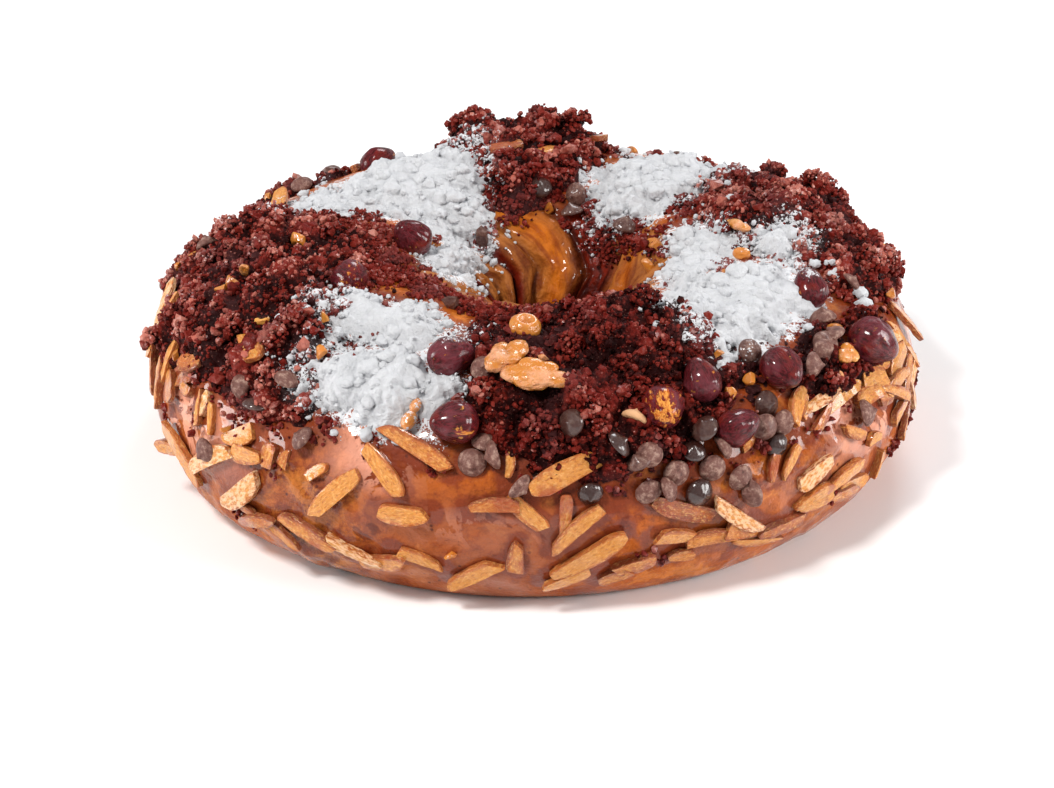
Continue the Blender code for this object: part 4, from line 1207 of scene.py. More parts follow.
def clustered(rng, middle, outward, radii, counts, tall=1.0, shell=0.72):
    """Grains on knobbly clumps: their places, which clump each is in, and how high on it."""
    which = np.repeat(np.arange(len(middle)), counts)
    ball = unit(rng.normal(size=(len(which), 3)))
    up = np.einsum("ij,ij->i", ball, outward[which])
    ball += outward[which] * (np.abs(up) * 0.85 * tall - up)[:, None]
    knobs = 1 + 0.42 * noise_of(ball * 1.9 + 7.3 * which[:, None], 1.0)
    reach = radii[which] * knobs * rng.uniform(shell, 1.02, size=len(which))
    return middle[which] + ball * reach[:, None], which, np.abs(up)


def grains_for(heaps, count):
    """How many of a number of grains each heap gets, by its size."""
    total = sum(heap.half_turn * heap.half_slope for heap in CRUMB_HEAPS)
    return [int(count * heap.half_turn * heap.half_slope / total) for heap in heaps]


def crumb_rows(heap, turn, slope):
    """Places on a heap of crumb: points, outward vectors, turns, slopes, clumps, heights."""
    point, _, _, outward = crust_frame(turn, slope)
    over, rough = crumb_top(heap, point, spread(heap, turn, slope))
    lift = relief(point, turn, slope) + np.maximum(over, 0.0002)
    return np.column_stack([point + outward * lift[:, None], outward, turn, slope, rough, over])


def crumb_places(rng, heaps, count, reach):
    """Random places on heaps of crumb, as crumb_rows gives them."""
    numbers = grains_for(heaps, count)
    return np.concatenate([crumb_rows(heap, *heap_places(rng, heap, number, reach))
                           for heap, number in zip(heaps, numbers)])


def fine_crumb_mesh(rng, name, heaps, crumb, strays, painted_light_offset):
    """Single grains all over some heaps, thinner past their rims, and fallen beside them."""
    rows = crumb_places(rng, heaps, crumb.grains, 1.12)
    places, outward = rows[:, :3], rows[:, 3:6]
    turn, slope, rough, over = rows[:, 6:].T
    size = crumb.grain * np.exp(rng.normal(-0.04, 0.42, size=len(places)))
    places = places + outward * (size * rng.uniform(-0.3, 0.7, size=len(size)))[:, None]
    room = clear_of(places, size, *laid_toppings()) & ((over > 0) | (rng.uniform(size=len(size)) < 0.25))
    places, size, turn, slope, rough = (part[room] for part in (places, size, turn, slope, rough))
    # Tone rises with the relief: painted shade in the gaps and painted light on the mounds, plus the group's painted
    # light offset.
    tone = rng.normal(-0.16, 0.18, size=len(size)) + 1.5 * rough + painted_light_offset
    dust = dust_at(turn, slope) * rng.uniform(0.2, 1.0, size=len(size))
    if strays:
        stray = np.array(strays, float)
        point, _, _, outward = crust_frame(stray[:, 0], stray[:, 1])
        lift = relief(point, stray[:, 0], stray[:, 1])
        more, stray_of, _ = clustered(rng, point + outward * (lift + 0.0002)[:, None], outward,
                                      stray[:, 2] * MM, (stray[:, 3] * 0.75).astype(int), tall=0.3, shell=0.15)
        places = np.concatenate([places, more])
        tone = np.concatenate([tone, rng.normal(0.45, 0.16, size=len(more))])
        dust = np.concatenate([dust, dust_at(stray[:, 0], stray[:, 1])[stray_of] * 0.6])
        size = np.concatenate([size, crumb.grain * np.exp(rng.normal(0.1, 0.34, size=len(more)))])
    variants, faces = grain_variants(rng, 1, 0.36, 24)
    return joined_mesh(name, scatter(rng, variants, places, size), faces, {"tone": tone, "dust": dust})


def loose_crumb_mesh(rng, name, heaps, crumb, painted_light_offset):
    """Knobbly clumps of crumb that stand up from some heaps."""
    rows = crumb_places(rng, heaps, crumb.clumps, 1.06)
    radii = (1.2 + 3.0 * rng.uniform(size=len(rows)) ** 2.2) * MM * np.clip(0.45 + rows[:, 9] * 200, 0.4, 1.0)
    for heap in heaps:
        chunks = np.array(CHUNKS.get(heap.name, []), float).reshape(-1, 3)
        rows = np.concatenate([rows, crumb_rows(heap, chunks[:, 0], chunks[:, 1])])
        radii = np.concatenate([radii, chunks[:, 2] * MM])
    middle, outward = rows[:, :3], rows[:, 3:6]
    turn, slope, _, over = rows[:, 6:].T
    middle = middle + outward * (radii * rng.uniform(-0.5, 0.3, size=len(radii)))[:, None]
    room = clear_of(middle, radii, *laid_toppings()) & (over > -0.0012)
    middle, outward, radii, turn, slope = (part[room] for part in (middle, outward, radii, turn, slope))
    counts = np.maximum(5, 1.75 * (radii / crumb.grain) ** 2).astype(int)
    places, which, high = clustered(rng, middle, outward, radii, counts)
    # Tone is paler high on each clump: painted light on the tops, plus the group's painted light offset.
    own_tone = rng.normal(painted_light_offset, 0.14, size=len(turn))
    tone = rng.normal(0.30, 0.17, size=len(which)) + 0.42 * high + own_tone[which]
    clump_dust = dust_at(turn, slope)
    dust = clump_dust[which] * rng.uniform(0.2, 1.0, size=len(which))
    size = crumb.grain * np.exp(rng.normal(0.0, 0.42, size=len(places)))

    # Each clump's own body, under its grains, in painted crevice shade.
    places = np.concatenate([places, middle])
    size = np.concatenate([size, radii * 0.58])
    tone = np.concatenate([tone, np.full(len(middle), 0.0)])
    dust = np.concatenate([dust, clump_dust * 0.4])
    variants, faces = grain_variants(rng, 1, 0.36, 24)
    return joined_mesh(name, scatter(rng, variants, places, size), faces, {"tone": tone, "dust": dust})


def sugar_mesh(heap, detail):
    """A heap of clumped icing sugar with a ragged, crumbling rim."""
    mesh, turn, slope, out, top = heap_shell(heap, detail, reach=SUGAR_REACH)
    point, _, _, outward = crust_frame(turn, slope)
    over = np.where(top, sugar_top(heap, point, turn, slope, out) - 0.0006, -HEAP_ROOT)
    move_points(mesh, point + outward * (relief(point, turn, slope) + over)[:, None])
    return mesh


def sugar_top(heap, point, turn, slope, out):
    """The height of a sugar heap's surface over the crust."""
    ragged = 1.02 - out + 0.36 * noise_of(point, 85, 3.0) + 0.22 * noise_of(point, 210, 6.0)
    ragged += 0.14 * noise_of(point, 520, 1.0)
    cover = np.clip(ragged / 0.16, 0.0, 1.0)
    cover = cover * cover * (3 - 2 * cover)
    body = heap_rise(heap, point, np.minimum(out / SUGAR_REACH, 1.0)) * 0.62
    crumbly = np.clip(0.55 + 1.5 * noise_of(point, 48, 2.0), 0.12, 1.2)
    lumps = 3.1 * lumps_of(point, 92, 4.0) + crumbly * (
        1.5 * lumps_of(point, 215, 1.5) + 0.6 * lumps_of(point, 480, 7.5) + 0.3 * noise_of(point, 1100, 2.0))
    body = body * np.clip(ragged / 0.5, 0.25, 1.0) + (lumps - 1.4) * MM
    return crumb_rise(turn, slope) * 0.9 + cover * body - 0.0014 * (1 - cover)


def puff(rng, base, radius):
    """A ragged lump of sugar from a ball."""
    seed = rng.uniform(0, 100)
    bumps = 1 + 0.34 * noise_of(base, 1.5, seed) + 0.17 * noise_of(base, 3.8, seed)
    bumps += 0.10 * noise_of(base, 8.0, seed)
    return base * bumps[:, None] * rng.uniform((0.8, 0.8, 0.6), (1.2, 1.2, 0.95)) * radius


def sugar_puff_mesh(rng, sugar):
    """Billows of packed sugar that stand out of the heaps, larger towards their middles."""
    bm = bmesh.new()
    bmesh.ops.create_icosphere(bm, subdivisions=3, radius=1.0)
    base, faces = template(bm)
    puffs = []
    for turn, slope, radius in SUGAR_LUMPS:
        here = np.array([turn]), np.array([slope])
        point, _, _, outward = crust_frame(*here)
        lift = relief(point, *here) + crumb_rise(*here) + 0.4 * radius * MM
        puffs.append(puff(rng, base, radius * MM) + point + outward * lift[:, None])
    for heap in SUGAR_HEAPS:
        turn, slope = heap_places(rng, heap, int(heap.half_turn * heap.half_slope * sugar.puffs) + 3, 1.0)
        out = spread(heap, turn, slope)
        over = sugar_top(heap, crust(turn, slope), turn, slope, out)
        point, _, _, outward = crust_frame(turn, slope)
        high = over - crumb_rise(turn, slope)
        radii = rng.uniform(1.0, 3.9, size=len(turn)) * MM * np.clip(1.25 - 0.8 * out, 0.35, 1.0)
        middle = point + outward * (relief(point, turn, slope) + over - 0.35 * radii)[:, None]
        kept = (high > 0.0008) & clear_of(middle, radii, *laid_toppings())
        puffs += [puff(rng, base, radius) + place for place, radius in zip(middle[kept], radii[kept])]
    return joined_mesh("sugar_puffs", np.array(puffs), faces)


def loose_sugar_mesh(rng, sugar):
    """Crumbs of sugar broken off the heaps and spilt round them."""
    rows = []
    for heap in SUGAR_HEAPS:
        count = int(sugar.clumps * heap.half_turn * heap.half_slope / 700) + 60
        turn, slope = heap_places(rng, heap, count, 1.6)
        out = spread(heap, turn, slope)
        rim = rng.uniform(size=len(out)) < np.clip((out - 0.45) * 2, 0.12, 1.0)
        turn, slope, out = turn[rim], slope[rim], out[rim]
        over = np.maximum(sugar_top(heap, crust(turn, slope), turn, slope, out), crumb_rise(turn, slope))
        rows.append(np.column_stack([turn, slope, over]))
    turn, slope, lift = np.concatenate(rows).T
    point, _, _, outward = crust_frame(turn, slope)
    middle = point + outward * (relief(point, turn, slope) + lift)[:, None]
    radii = rng.uniform(0.3, 1.6, size=len(turn)) * MM
    places, _, _ = clustered(rng, middle, outward, radii, rng.integers(1, 7, size=len(turn)), shell=0.2)
    size = 0.00034 * np.exp(rng.normal(0, 0.55, size=len(places)))
    variants, faces = grain_variants(rng, 1, 0.3, 16)
    return joined_mesh("sugar_loose", scatter(rng, variants, places, size), faces)


def hazelnut_mesh(rng):
    """All the hazelnuts: each round, flat at its scar, pointed on top, faintly ribbed."""
    bm = bmesh.new()
    bmesh.ops.create_uvsphere(bm, u_segments=40, v_segments=26, radius=0.5)
    base, faces = template(bm)
    up = base[:, 2] / 0.5
    around = np.arctan2(base[:, 1], base[:, 0])
    all_points, grain, peel, dust = [], [], [], []
    for turn, slope, length, lean, heading, bare, pressed in HAZELNUTS:
        nut = base.copy()
        seed = rng.uniform(0, 100)
        ribs = 0.012 * np.sin(around * 9 + seed) + 0.010 * np.sin(around * 17 + 2 * seed + up)
        bulge = 0.13 * noise_of(base, 2.2, seed) + 0.05 * noise_of(base, 5.0, seed)
        girth = rng.uniform(0.80, 0.88) * (1 - 0.14 * up) * (1 + (ribs + bulge) * (1 - up**4))
        nut[:, :2] *= girth[:, None]
        tip = 0.28 * np.maximum(0.0, up - 0.70)
        nut[:, 2] = 0.5 * np.where(up > 0, up + tip, -np.abs(up) ** 1.25 * 0.92)
        point, outward, axes = leaning_axes(turn, slope, lean, heading)
        size = length * MM
        reach = size / 2 * np.hypot(cos(radians(lean)), NUT_WIDTH * sin(radians(lean)))
        middle = point + outward * (reach + GAP - pressed * MM)
        placed = nut @ axes.T * size + middle
        all_points.append(placed)
        grain.append(base * (1.6, 1.6, 0.35) * 2 + seed)
        towards = (placed - middle) / size * 2
        peel.append(bare + PEEL_TURN * (towards @ unit(np.array(PEEL_SIDE))))
        facing = np.clip(towards[:, 2] * 1.5 - 0.45, 0.0, 1.0)
        dust.append(facing * dust_at(turn, slope) * 0.75)
    return joined_mesh("hazelnuts", np.array(all_points), faces, {
        "grain": np.array(grain), "peel": np.ravel(peel).reshape(-1, 1), "dust": np.ravel(dust).reshape(-1, 1),
    })


def lobed(directions, lobe_list):
    """How far a blob of overlapping balls reaches in each direction from its middle."""
    reach = np.full(len(directions), 0.2)
    for x, y, z, radius in lobe_list:
        middle = np.array((x, y, z))
        towards = directions @ middle
        inside = towards**2 - middle @ middle + radius**2
        hit = np.where(inside > 0, towards + np.sqrt(np.maximum(inside, 0)), 0)
        reach = np.maximum(reach, hit)
    return reach


def caramel_mesh(rng):
    """The caramelised nuts: lobed lumps, and one split round nut with its hollow up."""
    bm = bmesh.new()
    bmesh.ops.create_icosphere(bm, subdivisions=5, radius=1.0)
    base, faces = template(bm)
    all_points, tone, cloud, dust = [], [], [], []
    for turn, slope, length, width, thick, heading, lobe_list in CARAMEL_NUTS:
        knobs = 0.07 * noise_of(base, 2.2, turn) + 0.03 * noise_of(base, 6.0, slope)
        if lobe_list:
            pits = 0.05 * lumps_of(base, 3.4, turn)
            nut = base * (lobed(base, lobe_list) * (0.96 + knobs + pits))[:, None]
        else:
            flat = np.hypot(base[:, 0], base[:, 1])
            hollow = np.exp(-((flat / 0.34) ** 2)) * (base[:, 2] > 0)
            nut = base * (1 + 0.6 * knobs)[:, None]
            nut[:, 2] -= 1.15 * hollow
        point, outward, axes = leaning_axes(turn, slope, 8, heading)
        half = np.array((length, width, thick)) * MM / 2
        bed = float(crumb_rise(np.array([turn]), np.array([slope]))[0])
        middle = point + outward * (half[2] * 0.7 + GAP + bed * 0.75)
        all_points.append((nut * half) @ axes.T + middle)
        tone.append(rng.uniform(-0.3, 0.5))
        cloud.append(1.0 if lobe_list and length > 12 else 0.25)
        dust.append(float(dust_at(np.array([turn]), np.array([slope]))[0]) * 0.5)
    return joined_mesh("caramel_nuts", np.array(all_points), faces, {
        "tone": np.array(tone), "cloud": np.array(cloud), "dust": np.array(dust),
    })


def chipped(rng, base, cuts):
    """A ball with flat sides broken off it."""
    bit = base * (1 + 0.16 * noise_of(base, 1.7, rng.uniform(0, 50)))[:, None]
    for _ in range(cuts):
        side = unit(rng.normal(size=3))
        over = np.maximum(0.0, bit @ side - rng.uniform(0.35, 0.75))
        bit = bit - over[:, None] * side * 0.96
    return bit


def nut_bit_mesh(rng):
    """Chopped nut: small lumps with flat broken sides."""
    bm = bmesh.new()
    bmesh.ops.create_icosphere(bm, subdivisions=3, radius=1.0)
    base, faces = template(bm)
    spec = np.array(NUT_BITS, float)
    bed = crumb_rise(spec[:, 0], spec[:, 1])
    point, _, _, outward = crust_frame(spec[:, 0], spec[:, 1])
    middle = point + outward * (relief(point, spec[:, 0], spec[:, 1]) + bed * 0.9 + 0.0012)[:, None]
    shapes = [chipped(rng, base, 6) * rng.uniform((0.9, 0.6, 0.5), (1.05, 0.9, 0.75)) * length * MM / 2
              for length in spec[:, 2]]
    turned = np.einsum("nij,nvj->nvi", random_turns(rng, len(spec)), np.array(shapes))
    return joined_mesh("nut_bits", turned + middle[:, None, :], faces, {
        "tone": rng.uniform(-0.4, 0.7, size=len(spec)),
        "cloud": rng.uniform(0.0, 1.0, size=len(spec)) ** 2,
        "dust": dust_at(spec[:, 0], spec[:, 1]) * 0.35,
    })


def sliver_shape(rng, base):
    """A slice of almond from a ball: its points in half sizes, and how near its rim each is. One end
    is more pointed than the other, and straight cuts take off one long side and the ends."""
    along = base[:, 2]
    flat = np.hypot(base[:, 0], base[:, 1]) + 1e-9
    side = np.sign(base[:, 0]) * np.abs(base[:, 0] / flat) ** 0.2
    up = np.sign(base[:, 1]) * np.abs(base[:, 1] / flat) ** 0.2
    ends = rng.uniform(1.6, 3.2, size=2)
    wide = (1 - np.abs(along) ** np.where(along > 0, ends[0], ends[1])) ** 0.62
    beside = side * wide
    chord, skew, way = rng.uniform(0.1, 0.75), rng.uniform(-0.3, 0.3), rng.choice((-1, 1))
    beside = beside - way * np.maximum(0.0, way * beside + skew * along - chord)
    for end in (-1, 1):
        place, slant = rng.uniform(0.68, 1.0), rng.uniform(-0.35, 0.35)
        along = along - end * np.maximum(0.0, end * along + slant * beside - place)
    thick = up * np.maximum(wide, 0.0) ** 0.15
    rim = np.maximum(np.abs(side), np.abs(along) ** 4)
    return np.stack([along, beside, thick], axis=-1), rim


def almond_mesh(rng, name, specs, steps):
    """Slices of almond, each laid along the crust and following its curve."""
    bm = bmesh.new()
    bmesh.ops.create_uvsphere(bm, u_segments=steps, v_segments=steps + 6, radius=1.0)
    base, faces = template(bm)
    all_points, grain, edges = [], [], []
    for turn, slope, rise, length, width, lean in specs:
        shape, edge = sliver_shape(rng, base)
        point, round_it, over_it, outward = crust_frame(turn, slope)
        mix = sliver_way(round_it, over_it, rise)
        per_turn = np.linalg.norm(crust(turn + 0.5, slope) - point) * 2
        per_slope = np.linalg.norm(crust(turn, slope + 0.5) - point) * 2
        thick = SLIVER_THICKNESS * rng.uniform(0.5, 0.95)
        lopsided = rng.uniform(-0.25, 0.25)
        bow = rng.uniform(-0.10, 0.16)
        along = shape[:, 0] * length * 1.12 * MM / 2
        narrow = 1 + lopsided * shape[:, 0]
        beside = (shape[:, 1] * narrow + bow * (1 - shape[:, 0] ** 2)) * width * 1.2 * MM / 2
        wavy = 0.00035 * noise_of(shape * (length, width, 1) * 0.1, 2.4, rng.uniform(0, 90))
        up = shape[:, 2] * thick / 2 + wavy
        tilt = sin(radians(lean))
        off = along * tilt + abs(tilt) * length * MM * 0.35 + beside * rng.uniform(-0.22, 0.22)
        bed = max(0.0, float(crumb_rise(np.array([turn]), np.array([slope]))[0]) - 0.0008)
        lift = thick * 0.36 + up + off + bed
        here_turn = turn + (along * mix[0] - beside * mix[1]) / per_turn
        here_slope = slope + (along * mix[1] + beside * mix[0]) / per_slope
        laid = dressed(here_turn, here_slope, lift)
        crest = float(relief(point[None], np.array([turn]), np.array([slope]))[0])
        aside = round_it * mix[0] + over_it * mix[1]
        across = over_it * mix[0] - round_it * mix[1]
        flat = point + along[:, None] * aside + beside[:, None] * across + (lift + crest)[:, None] * outward
        all_points.append(laid + SLIVER_STIFFNESS * (flat - laid))
        grain.append(shape * (0.5, 1.0, 1.0) * (length / 10, width / 10, 0.3) * 2 + rng.uniform(0, 100))
        edges.append(edge)
    spec = np.array(specs)
    tone = rng.uniform(0.02, 0.52, size=len(spec)) + 0.25 * (rng.uniform(size=len(spec)) > 0.85)
    sugary = 0.8 * (rng.uniform(size=len(spec)) > 0.88) + 0.06
    return joined_mesh(name, np.array(all_points), faces, {
        "grain": np.array(grain), "edge": np.ravel(edges).reshape(-1, 1), "tone": tone, "sugary": sugary,
        "dust": dust_at(spec[:, 0], spec[:, 1]) * 0.5,
    })


def drop_mesh(rng, width):
    """Chocolate drops: a profile spun round, its tip drawn up and bent over."""
    profile = [(0, 0), (0.55, 0.0), (0.90, 0.03), (1.0, 0.16), (0.96, 0.34), (0.80, 0.56),
               (0.56, 0.74), (0.32, 0.88), (0.17, 1.0), (0.09, 1.10), (0, 1.16)]
    bm = bmesh.new()
    verts = [bm.verts.new((x, 0, z)) for x, z in profile]
    edges = [bm.edges.new(pair) for pair in zip(verts, verts[1:])]
    bmesh.ops.spin(bm, geom=verts + edges, cent=(0, 0, 0), axis=(0, 0, 1), angle=2 * pi, steps=20,
                   use_merge=True)
    bmesh.ops.remove_doubles(bm, verts=bm.verts, dist=1e-5)
    bmesh.ops.recalc_face_normals(bm, faces=bm.faces)
    base, faces = template(bm)
    all_points, grain = [], []
    for turn, slope, lean, heading, _ in DROPS:
        drop = base * (1 + 0.05 * noise_of(base, 1.3, rng.uniform(0, 60)))[:, None]
        tip = np.maximum(0.0, drop[:, 2] - 0.8)
        drop[:, 0] += tip * rng.uniform(-0.5, 0.5)
        drop[:, 1] += tip * rng.uniform(-0.5, 0.5)
        drop[:, 2] *= rng.uniform(0.72, 1.05)
        point, outward, axes = leaning_axes(turn, slope, lean, heading)
        half = width / 2 * rng.uniform(0.9, 1.08)
        here = np.array([turn]), np.array([slope])
        bed = float(crumb_rise(*here)[0]) + float(relief(point[None], *here)[0])
        sunk = 0.0006 - half * 0.75 * sin(radians(min(lean, 90)))
        middle = point + outward * (max(bed - 0.001, 0.0) - sunk)
        all_points.append((drop * half) @ axes.T + middle)
        grain.append(base + rng.uniform(0, 100))
    spec = np.array(DROPS)
    return joined_mesh("chocolate_drops", np.array(all_points), faces, {
        "grain": np.array(grain), "dark": spec[:, 4], "dust": dust_at(spec[:, 0], spec[:, 1]) * 0.45,
    })


def shard_mesh(rng):
    """Broken chocolate: lumps with flat sides, longer than they are thick."""
    bm = bmesh.new()
    bmesh.ops.create_icosphere(bm, subdivisions=5, radius=1.0)
    base, faces = template(bm)
    all_points, grain = [], []
    for turn, slope, length, width, thick, tilt, heading in SHARDS:
        point, outward, axes = leaning_axes(turn, slope, tilt, heading)
        bed = float(crumb_rise(np.array([turn]), np.array([slope]))[0])
        middle = point + outward * (bed * 0.6 + 0.0018)
        shape = chipped(rng, base, 9) * np.array((length, width, thick)) * MM / 2
        all_points.append(shape @ axes.T + middle)
        grain.append(base + rng.uniform(0, 100))
    return joined_mesh("chocolate_shards", np.array(all_points), faces, {
        "grain": np.array(grain), "dark": np.full(len(SHARDS), 0.55), "dust": np.full(len(SHARDS), 0.15),
    })


def unseen_slivers(rng):
    """Slivers round the back and sides, spaced as they are in front."""
    specs = []
    for turn in np.arange(14, 182, 4.2):
        for low, high in ((-16, -2), (-2, 14)):
            specs.append((turn + rng.uniform(-1.6, 1.6), rng.uniform(low, high), rng.uniform(-60, 60),
                          rng.uniform(13, 24), rng.uniform(4.5, 8.0), rng.uniform(-8, 8)))
    for turn in np.arange(20, 178, 13.0):
        specs.append((turn + rng.uniform(-4, 4), rng.uniform(20, 44), rng.uniform(-50, 50),
                      rng.uniform(12, 20), rng.uniform(4.5, 7.5), rng.uniform(-6, 12)))
    return specs


# ---- Operators ----


class ROSCON_OT_stage(bpy.types.Operator):
    """Lays the floor, sets the soft lights and places the camera"""

    bl_idname = "roscon.stage"
    bl_label = "Set the Stage"

    def execute(self, context):
        settings = context.scene.roscon_stage
        bm = bmesh.new()
        bmesh.ops.create_grid(bm, x_segments=1, y_segments=1, size=settings.floor_size / 2)
        bmesh.ops.translate(bm, verts=bm.verts, vec=(0, 0, CAD_BOX[0][2] - 0.0002))
        floor = bpy.data.objects.new("floor", mesh_of(bm, "floor"))
        context.scene.collection.objects.link(floor)
        paint, s, shader = new_material("Pale floor", roughness=0.7)
        grain = s.noise(s.object_places(), 30.0)
        wire(s, shader, {"Base Color": s.blend(grain, (0.925, 0.925, 0.93, 1.0), (0.95, 0.95, 0.955, 1.0))})
        floor.data.materials.append(paint)

        world = bpy.data.worlds.new("studio")
        context.scene.world = world
        world.use_nodes = True
        sky = world.node_tree.nodes["Background"]
        sky.inputs["Color"].default_value = (0.97, 0.985, 1.0, 1.0)
        sky.inputs["Strength"].default_value = settings.sky
        self.add_light("key", (-0.55, -0.60, 1.15), 0.30, settings.key, (1.0, 0.98, 0.95))
        self.add_light("fill", (1.0, -0.55, 0.60), 0.45, settings.key * 0.42, (1.0, 0.98, 0.96))
        self.add_light("right side", (1.15, -0.10, 0.30), 0.45, settings.key * 0.42, (1.0, 0.99, 0.98))
        self.add_light("left side", (-1.15, -0.05, 0.32), 0.45, settings.key * 0.42, (1.0, 0.99, 0.98))
        self.add_light("rim", (0.30, 1.0, 1.00), 0.6, settings.key * 0.55, (0.95, 0.97, 1.0))

        lens = bpy.data.cameras.new("camera")
        camera = bpy.data.objects.new("camera", lens)
        context.scene.collection.objects.link(camera)
        centre = Vector(RING_CENTRE)
        camera.location = centre + Vector((0.0, -0.7096, 0.3994))
        aim = centre + Vector((-0.0017, -0.0083, 0.0141))
        camera.rotation_euler = (aim - camera.location).to_track_quat("-Z", "Y").to_euler()
        lens.lens = settings.lens
        lens.sensor_width = 36.0
        lens.sensor_fit = "HORIZONTAL"
        context.scene.camera = camera
        context.scene.view_settings.view_transform = "Standard"
        return {"FINISHED"}

    def add_light(self, name, place, size, power, colour):
        """A round soft light aimed at the part."""
        data = bpy.data.lights.new(name, "AREA")
        data.shape = "DISK"
        data.size = size
        data.energy = power
        data.color = colour
        light = bpy.data.objects.new(name, data)
        bpy.context.scene.collection.objects.link(light)
        light.location = place
        light.rotation_euler = (-Vector(place)).to_track_quat("-Z", "Y").to_euler()


class ROSCON_OT_dough(bpy.types.Operator):
    """Bakes the ring of dough"""

    bl_idname = "roscon.dough"
    bl_label = "Bake the Ring"

    def execute(self, context):
        scene = context.scene
        mesh = dough_mesh(scene.roscon_dough)
        material = dough_material(scene.roscon_dough, scene.roscon_sugar)
        add_piece("glazed_bread", mesh, material, ["bread"])
        return {"FINISHED"}


class ROSCON_OT_crumb(bpy.types.Operator):
    """Heaps up the chocolate crumb"""

    bl_idname = "roscon.crumb"
    bl_label = "Heap the Crumb"

    def execute(self, context):
        scene = context.scene
        crumb = scene.roscon_crumb
        material = crumb_material(crumb, scene.roscon_sugar)
        for heap in CRUMB_HEAPS:
            large = heap.half_slope > 42
            add_piece(f"{heap.name}_bed", crumb_bed_mesh(heap, 7 if large else 6), material,
                      [heap.name])
        # Each group's third value shifts its tone as painted light: darker on the front heaps, paler on the left,
        # right and back.
        groups = [("front", [0, 4], -0.20, STRAY_CRUMBS), ("left", [1, 5], 0.10, []),
                  ("right", [2, 6], 0.08, []), ("back", [3], 0.04, [])]
        for number, (name, members, painted_light_offset, strays) in enumerate(groups):
            heaps = [CRUMB_HEAPS[i] for i in members]
            rng = np.random.default_rng(40 + number)
            mesh = loose_crumb_mesh(rng, f"crumbs_loose_{name}", heaps, crumb, painted_light_offset)
            add_piece(mesh.name, mesh, material, smooth=False)
            mesh = fine_crumb_mesh(rng, f"crumbs_fine_{name}", heaps, crumb, strays, painted_light_offset)
            add_piece(mesh.name, mesh, material, smooth=False)
        return {"FINISHED"}


class ROSCON_OT_sugar(bpy.types.Operator):
    """Spoons on the icing sugar"""

    bl_idname = "roscon.sugar"
    bl_label = "Spoon on the Sugar"

    def execute(self, context):
        sugar = context.scene.roscon_sugar
        material = sugar_material(sugar)
        for heap in SUGAR_HEAPS:
            large = heap.thick > 7
            add_piece(f"{heap.name}_heap", sugar_mesh(heap, 7 if large else 6), material, [heap.name])
        mesh = sugar_puff_mesh(np.random.default_rng(61), sugar)
        add_piece("sugar_puffs", mesh, material)
        mesh = loose_sugar_mesh(np.random.default_rng(60), sugar)
        add_piece("sugar_loose", mesh, material)
        return {"FINISHED"}


class ROSCON_OT_nuts(bpy.types.Operator):
    """Sets the hazelnuts, the caramelised nuts and the chopped nut"""

    bl_idname = "roscon.nuts"
    bl_label = "Set the Nuts"

    def execute(self, context):
        scene = context.scene
        toppings, sugar = scene.roscon_toppings, scene.roscon_sugar
        nodes = [f"hazelnut_{number:02d}" for number in range(1, len(HAZELNUTS) + 1)]
        mesh = hazelnut_mesh(np.random.default_rng(70))
        add_piece("hazelnuts", mesh, hazelnut_material(toppings, sugar), nodes)
        caramel = caramel_material(toppings, sugar)
        nodes = [f"caramel_nut_{number}" for number in range(1, len(CARAMEL_NUTS) + 1)]
        add_piece("caramel_nuts", caramel_mesh(np.random.default_rng(71)), caramel, nodes)
        add_piece("nut_bits", nut_bit_mesh(np.random.default_rng(72)), caramel, crisp=28)
        return {"FINISHED"}


class ROSCON_OT_almonds(bpy.types.Operator):
    """Strews the toasted almond slivers"""

    bl_idname = "roscon.almonds"
    bl_label = "Strew the Almonds"

    def execute(self, context):
        scene = context.scene
        rng = np.random.default_rng(80)
        material = almond_material(scene.roscon_toppings, scene.roscon_sugar)
        nodes = [f"almond_{number:02d}" for number in range(1, len(SLIVERS) + 1)]
        leans = rng.uniform(-5, 5, size=len(SLIVERS))
        specs = [spec + (lean,) for spec, lean in zip(SLIVERS, leans)]
        add_piece("almond_slivers", almond_mesh(rng, "almond_slivers", specs, 20), material, nodes,
                  crisp=42)
        more = MORE_SLIVERS + unseen_slivers(rng)
        mesh = almond_mesh(rng, "almond_slivers_more", more, 12)
        add_piece("almond_slivers_more", mesh, material, crisp=42)
        return {"FINISHED"}


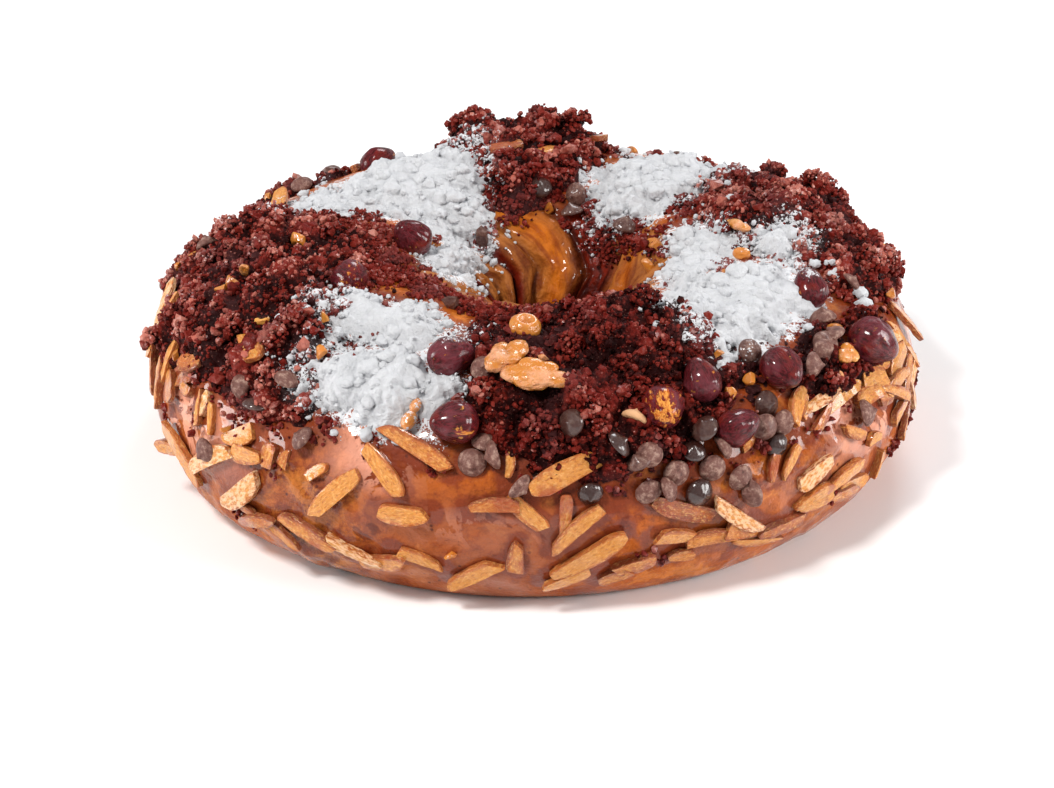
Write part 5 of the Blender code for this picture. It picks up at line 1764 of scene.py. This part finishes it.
class ROSCON_OT_chocolate(bpy.types.Operator):
    """Drops on the chocolate"""

    bl_idname = "roscon.chocolate"
    bl_label = "Drop on the Chocolate"

    def execute(self, context):
        scene = context.scene
        toppings = scene.roscon_toppings
        material = chocolate_material(toppings, scene.roscon_sugar)
        rng = np.random.default_rng(90)
        add_piece("chocolate_drops", drop_mesh(rng, toppings.drop_width), material)
        add_piece("chocolate_shards", shard_mesh(rng), material, crisp=28)
        return {"FINISHED"}


class ROSCON_PT_panel(bpy.types.Panel):
    """Lists the steps that dress the ring"""

    bl_idname = "ROSCON_PT_panel"
    bl_label = "Roscon de Reyes"
    bl_space_type = "VIEW_3D"
    bl_region_type = "UI"
    bl_category = "Roscon"

    def draw(self, context):
        for step in STEPS:
            self.layout.operator(step.bl_idname)
        for name, group in SETTINGS.items():
            box = self.layout.box()
            for prop in group.__annotations__:
                box.prop(getattr(context.scene, name), prop)


SETTINGS = {
    "roscon_dough": DoughSettings,
    "roscon_crumb": CrumbSettings,
    "roscon_sugar": SugarSettings,
    "roscon_toppings": ToppingSettings,
    "roscon_stage": StageSettings,
}
STEPS = [ROSCON_OT_stage, ROSCON_OT_dough, ROSCON_OT_crumb, ROSCON_OT_sugar, ROSCON_OT_nuts,
         ROSCON_OT_almonds, ROSCON_OT_chocolate]


def register():
    for name, group in SETTINGS.items():
        bpy.utils.register_class(group)
        setattr(bpy.types.Scene, name, PointerProperty(type=group))
    for cls in [*STEPS, ROSCON_PT_panel]:
        bpy.utils.register_class(cls)


def unregister():
    for cls in reversed([*STEPS, ROSCON_PT_panel]):
        bpy.utils.unregister_class(cls)
    for name, group in reversed(SETTINGS.items()):
        delattr(bpy.types.Scene, name)
        bpy.utils.unregister_class(group)


def main():
    register()
    bpy.ops.roscon.stage()
    bpy.ops.roscon.dough()
    bpy.ops.roscon.crumb()
    bpy.ops.roscon.sugar()
    bpy.ops.roscon.nuts()
    bpy.ops.roscon.almonds()
    bpy.ops.roscon.chocolate()


if __name__ == "__main__":
    main()
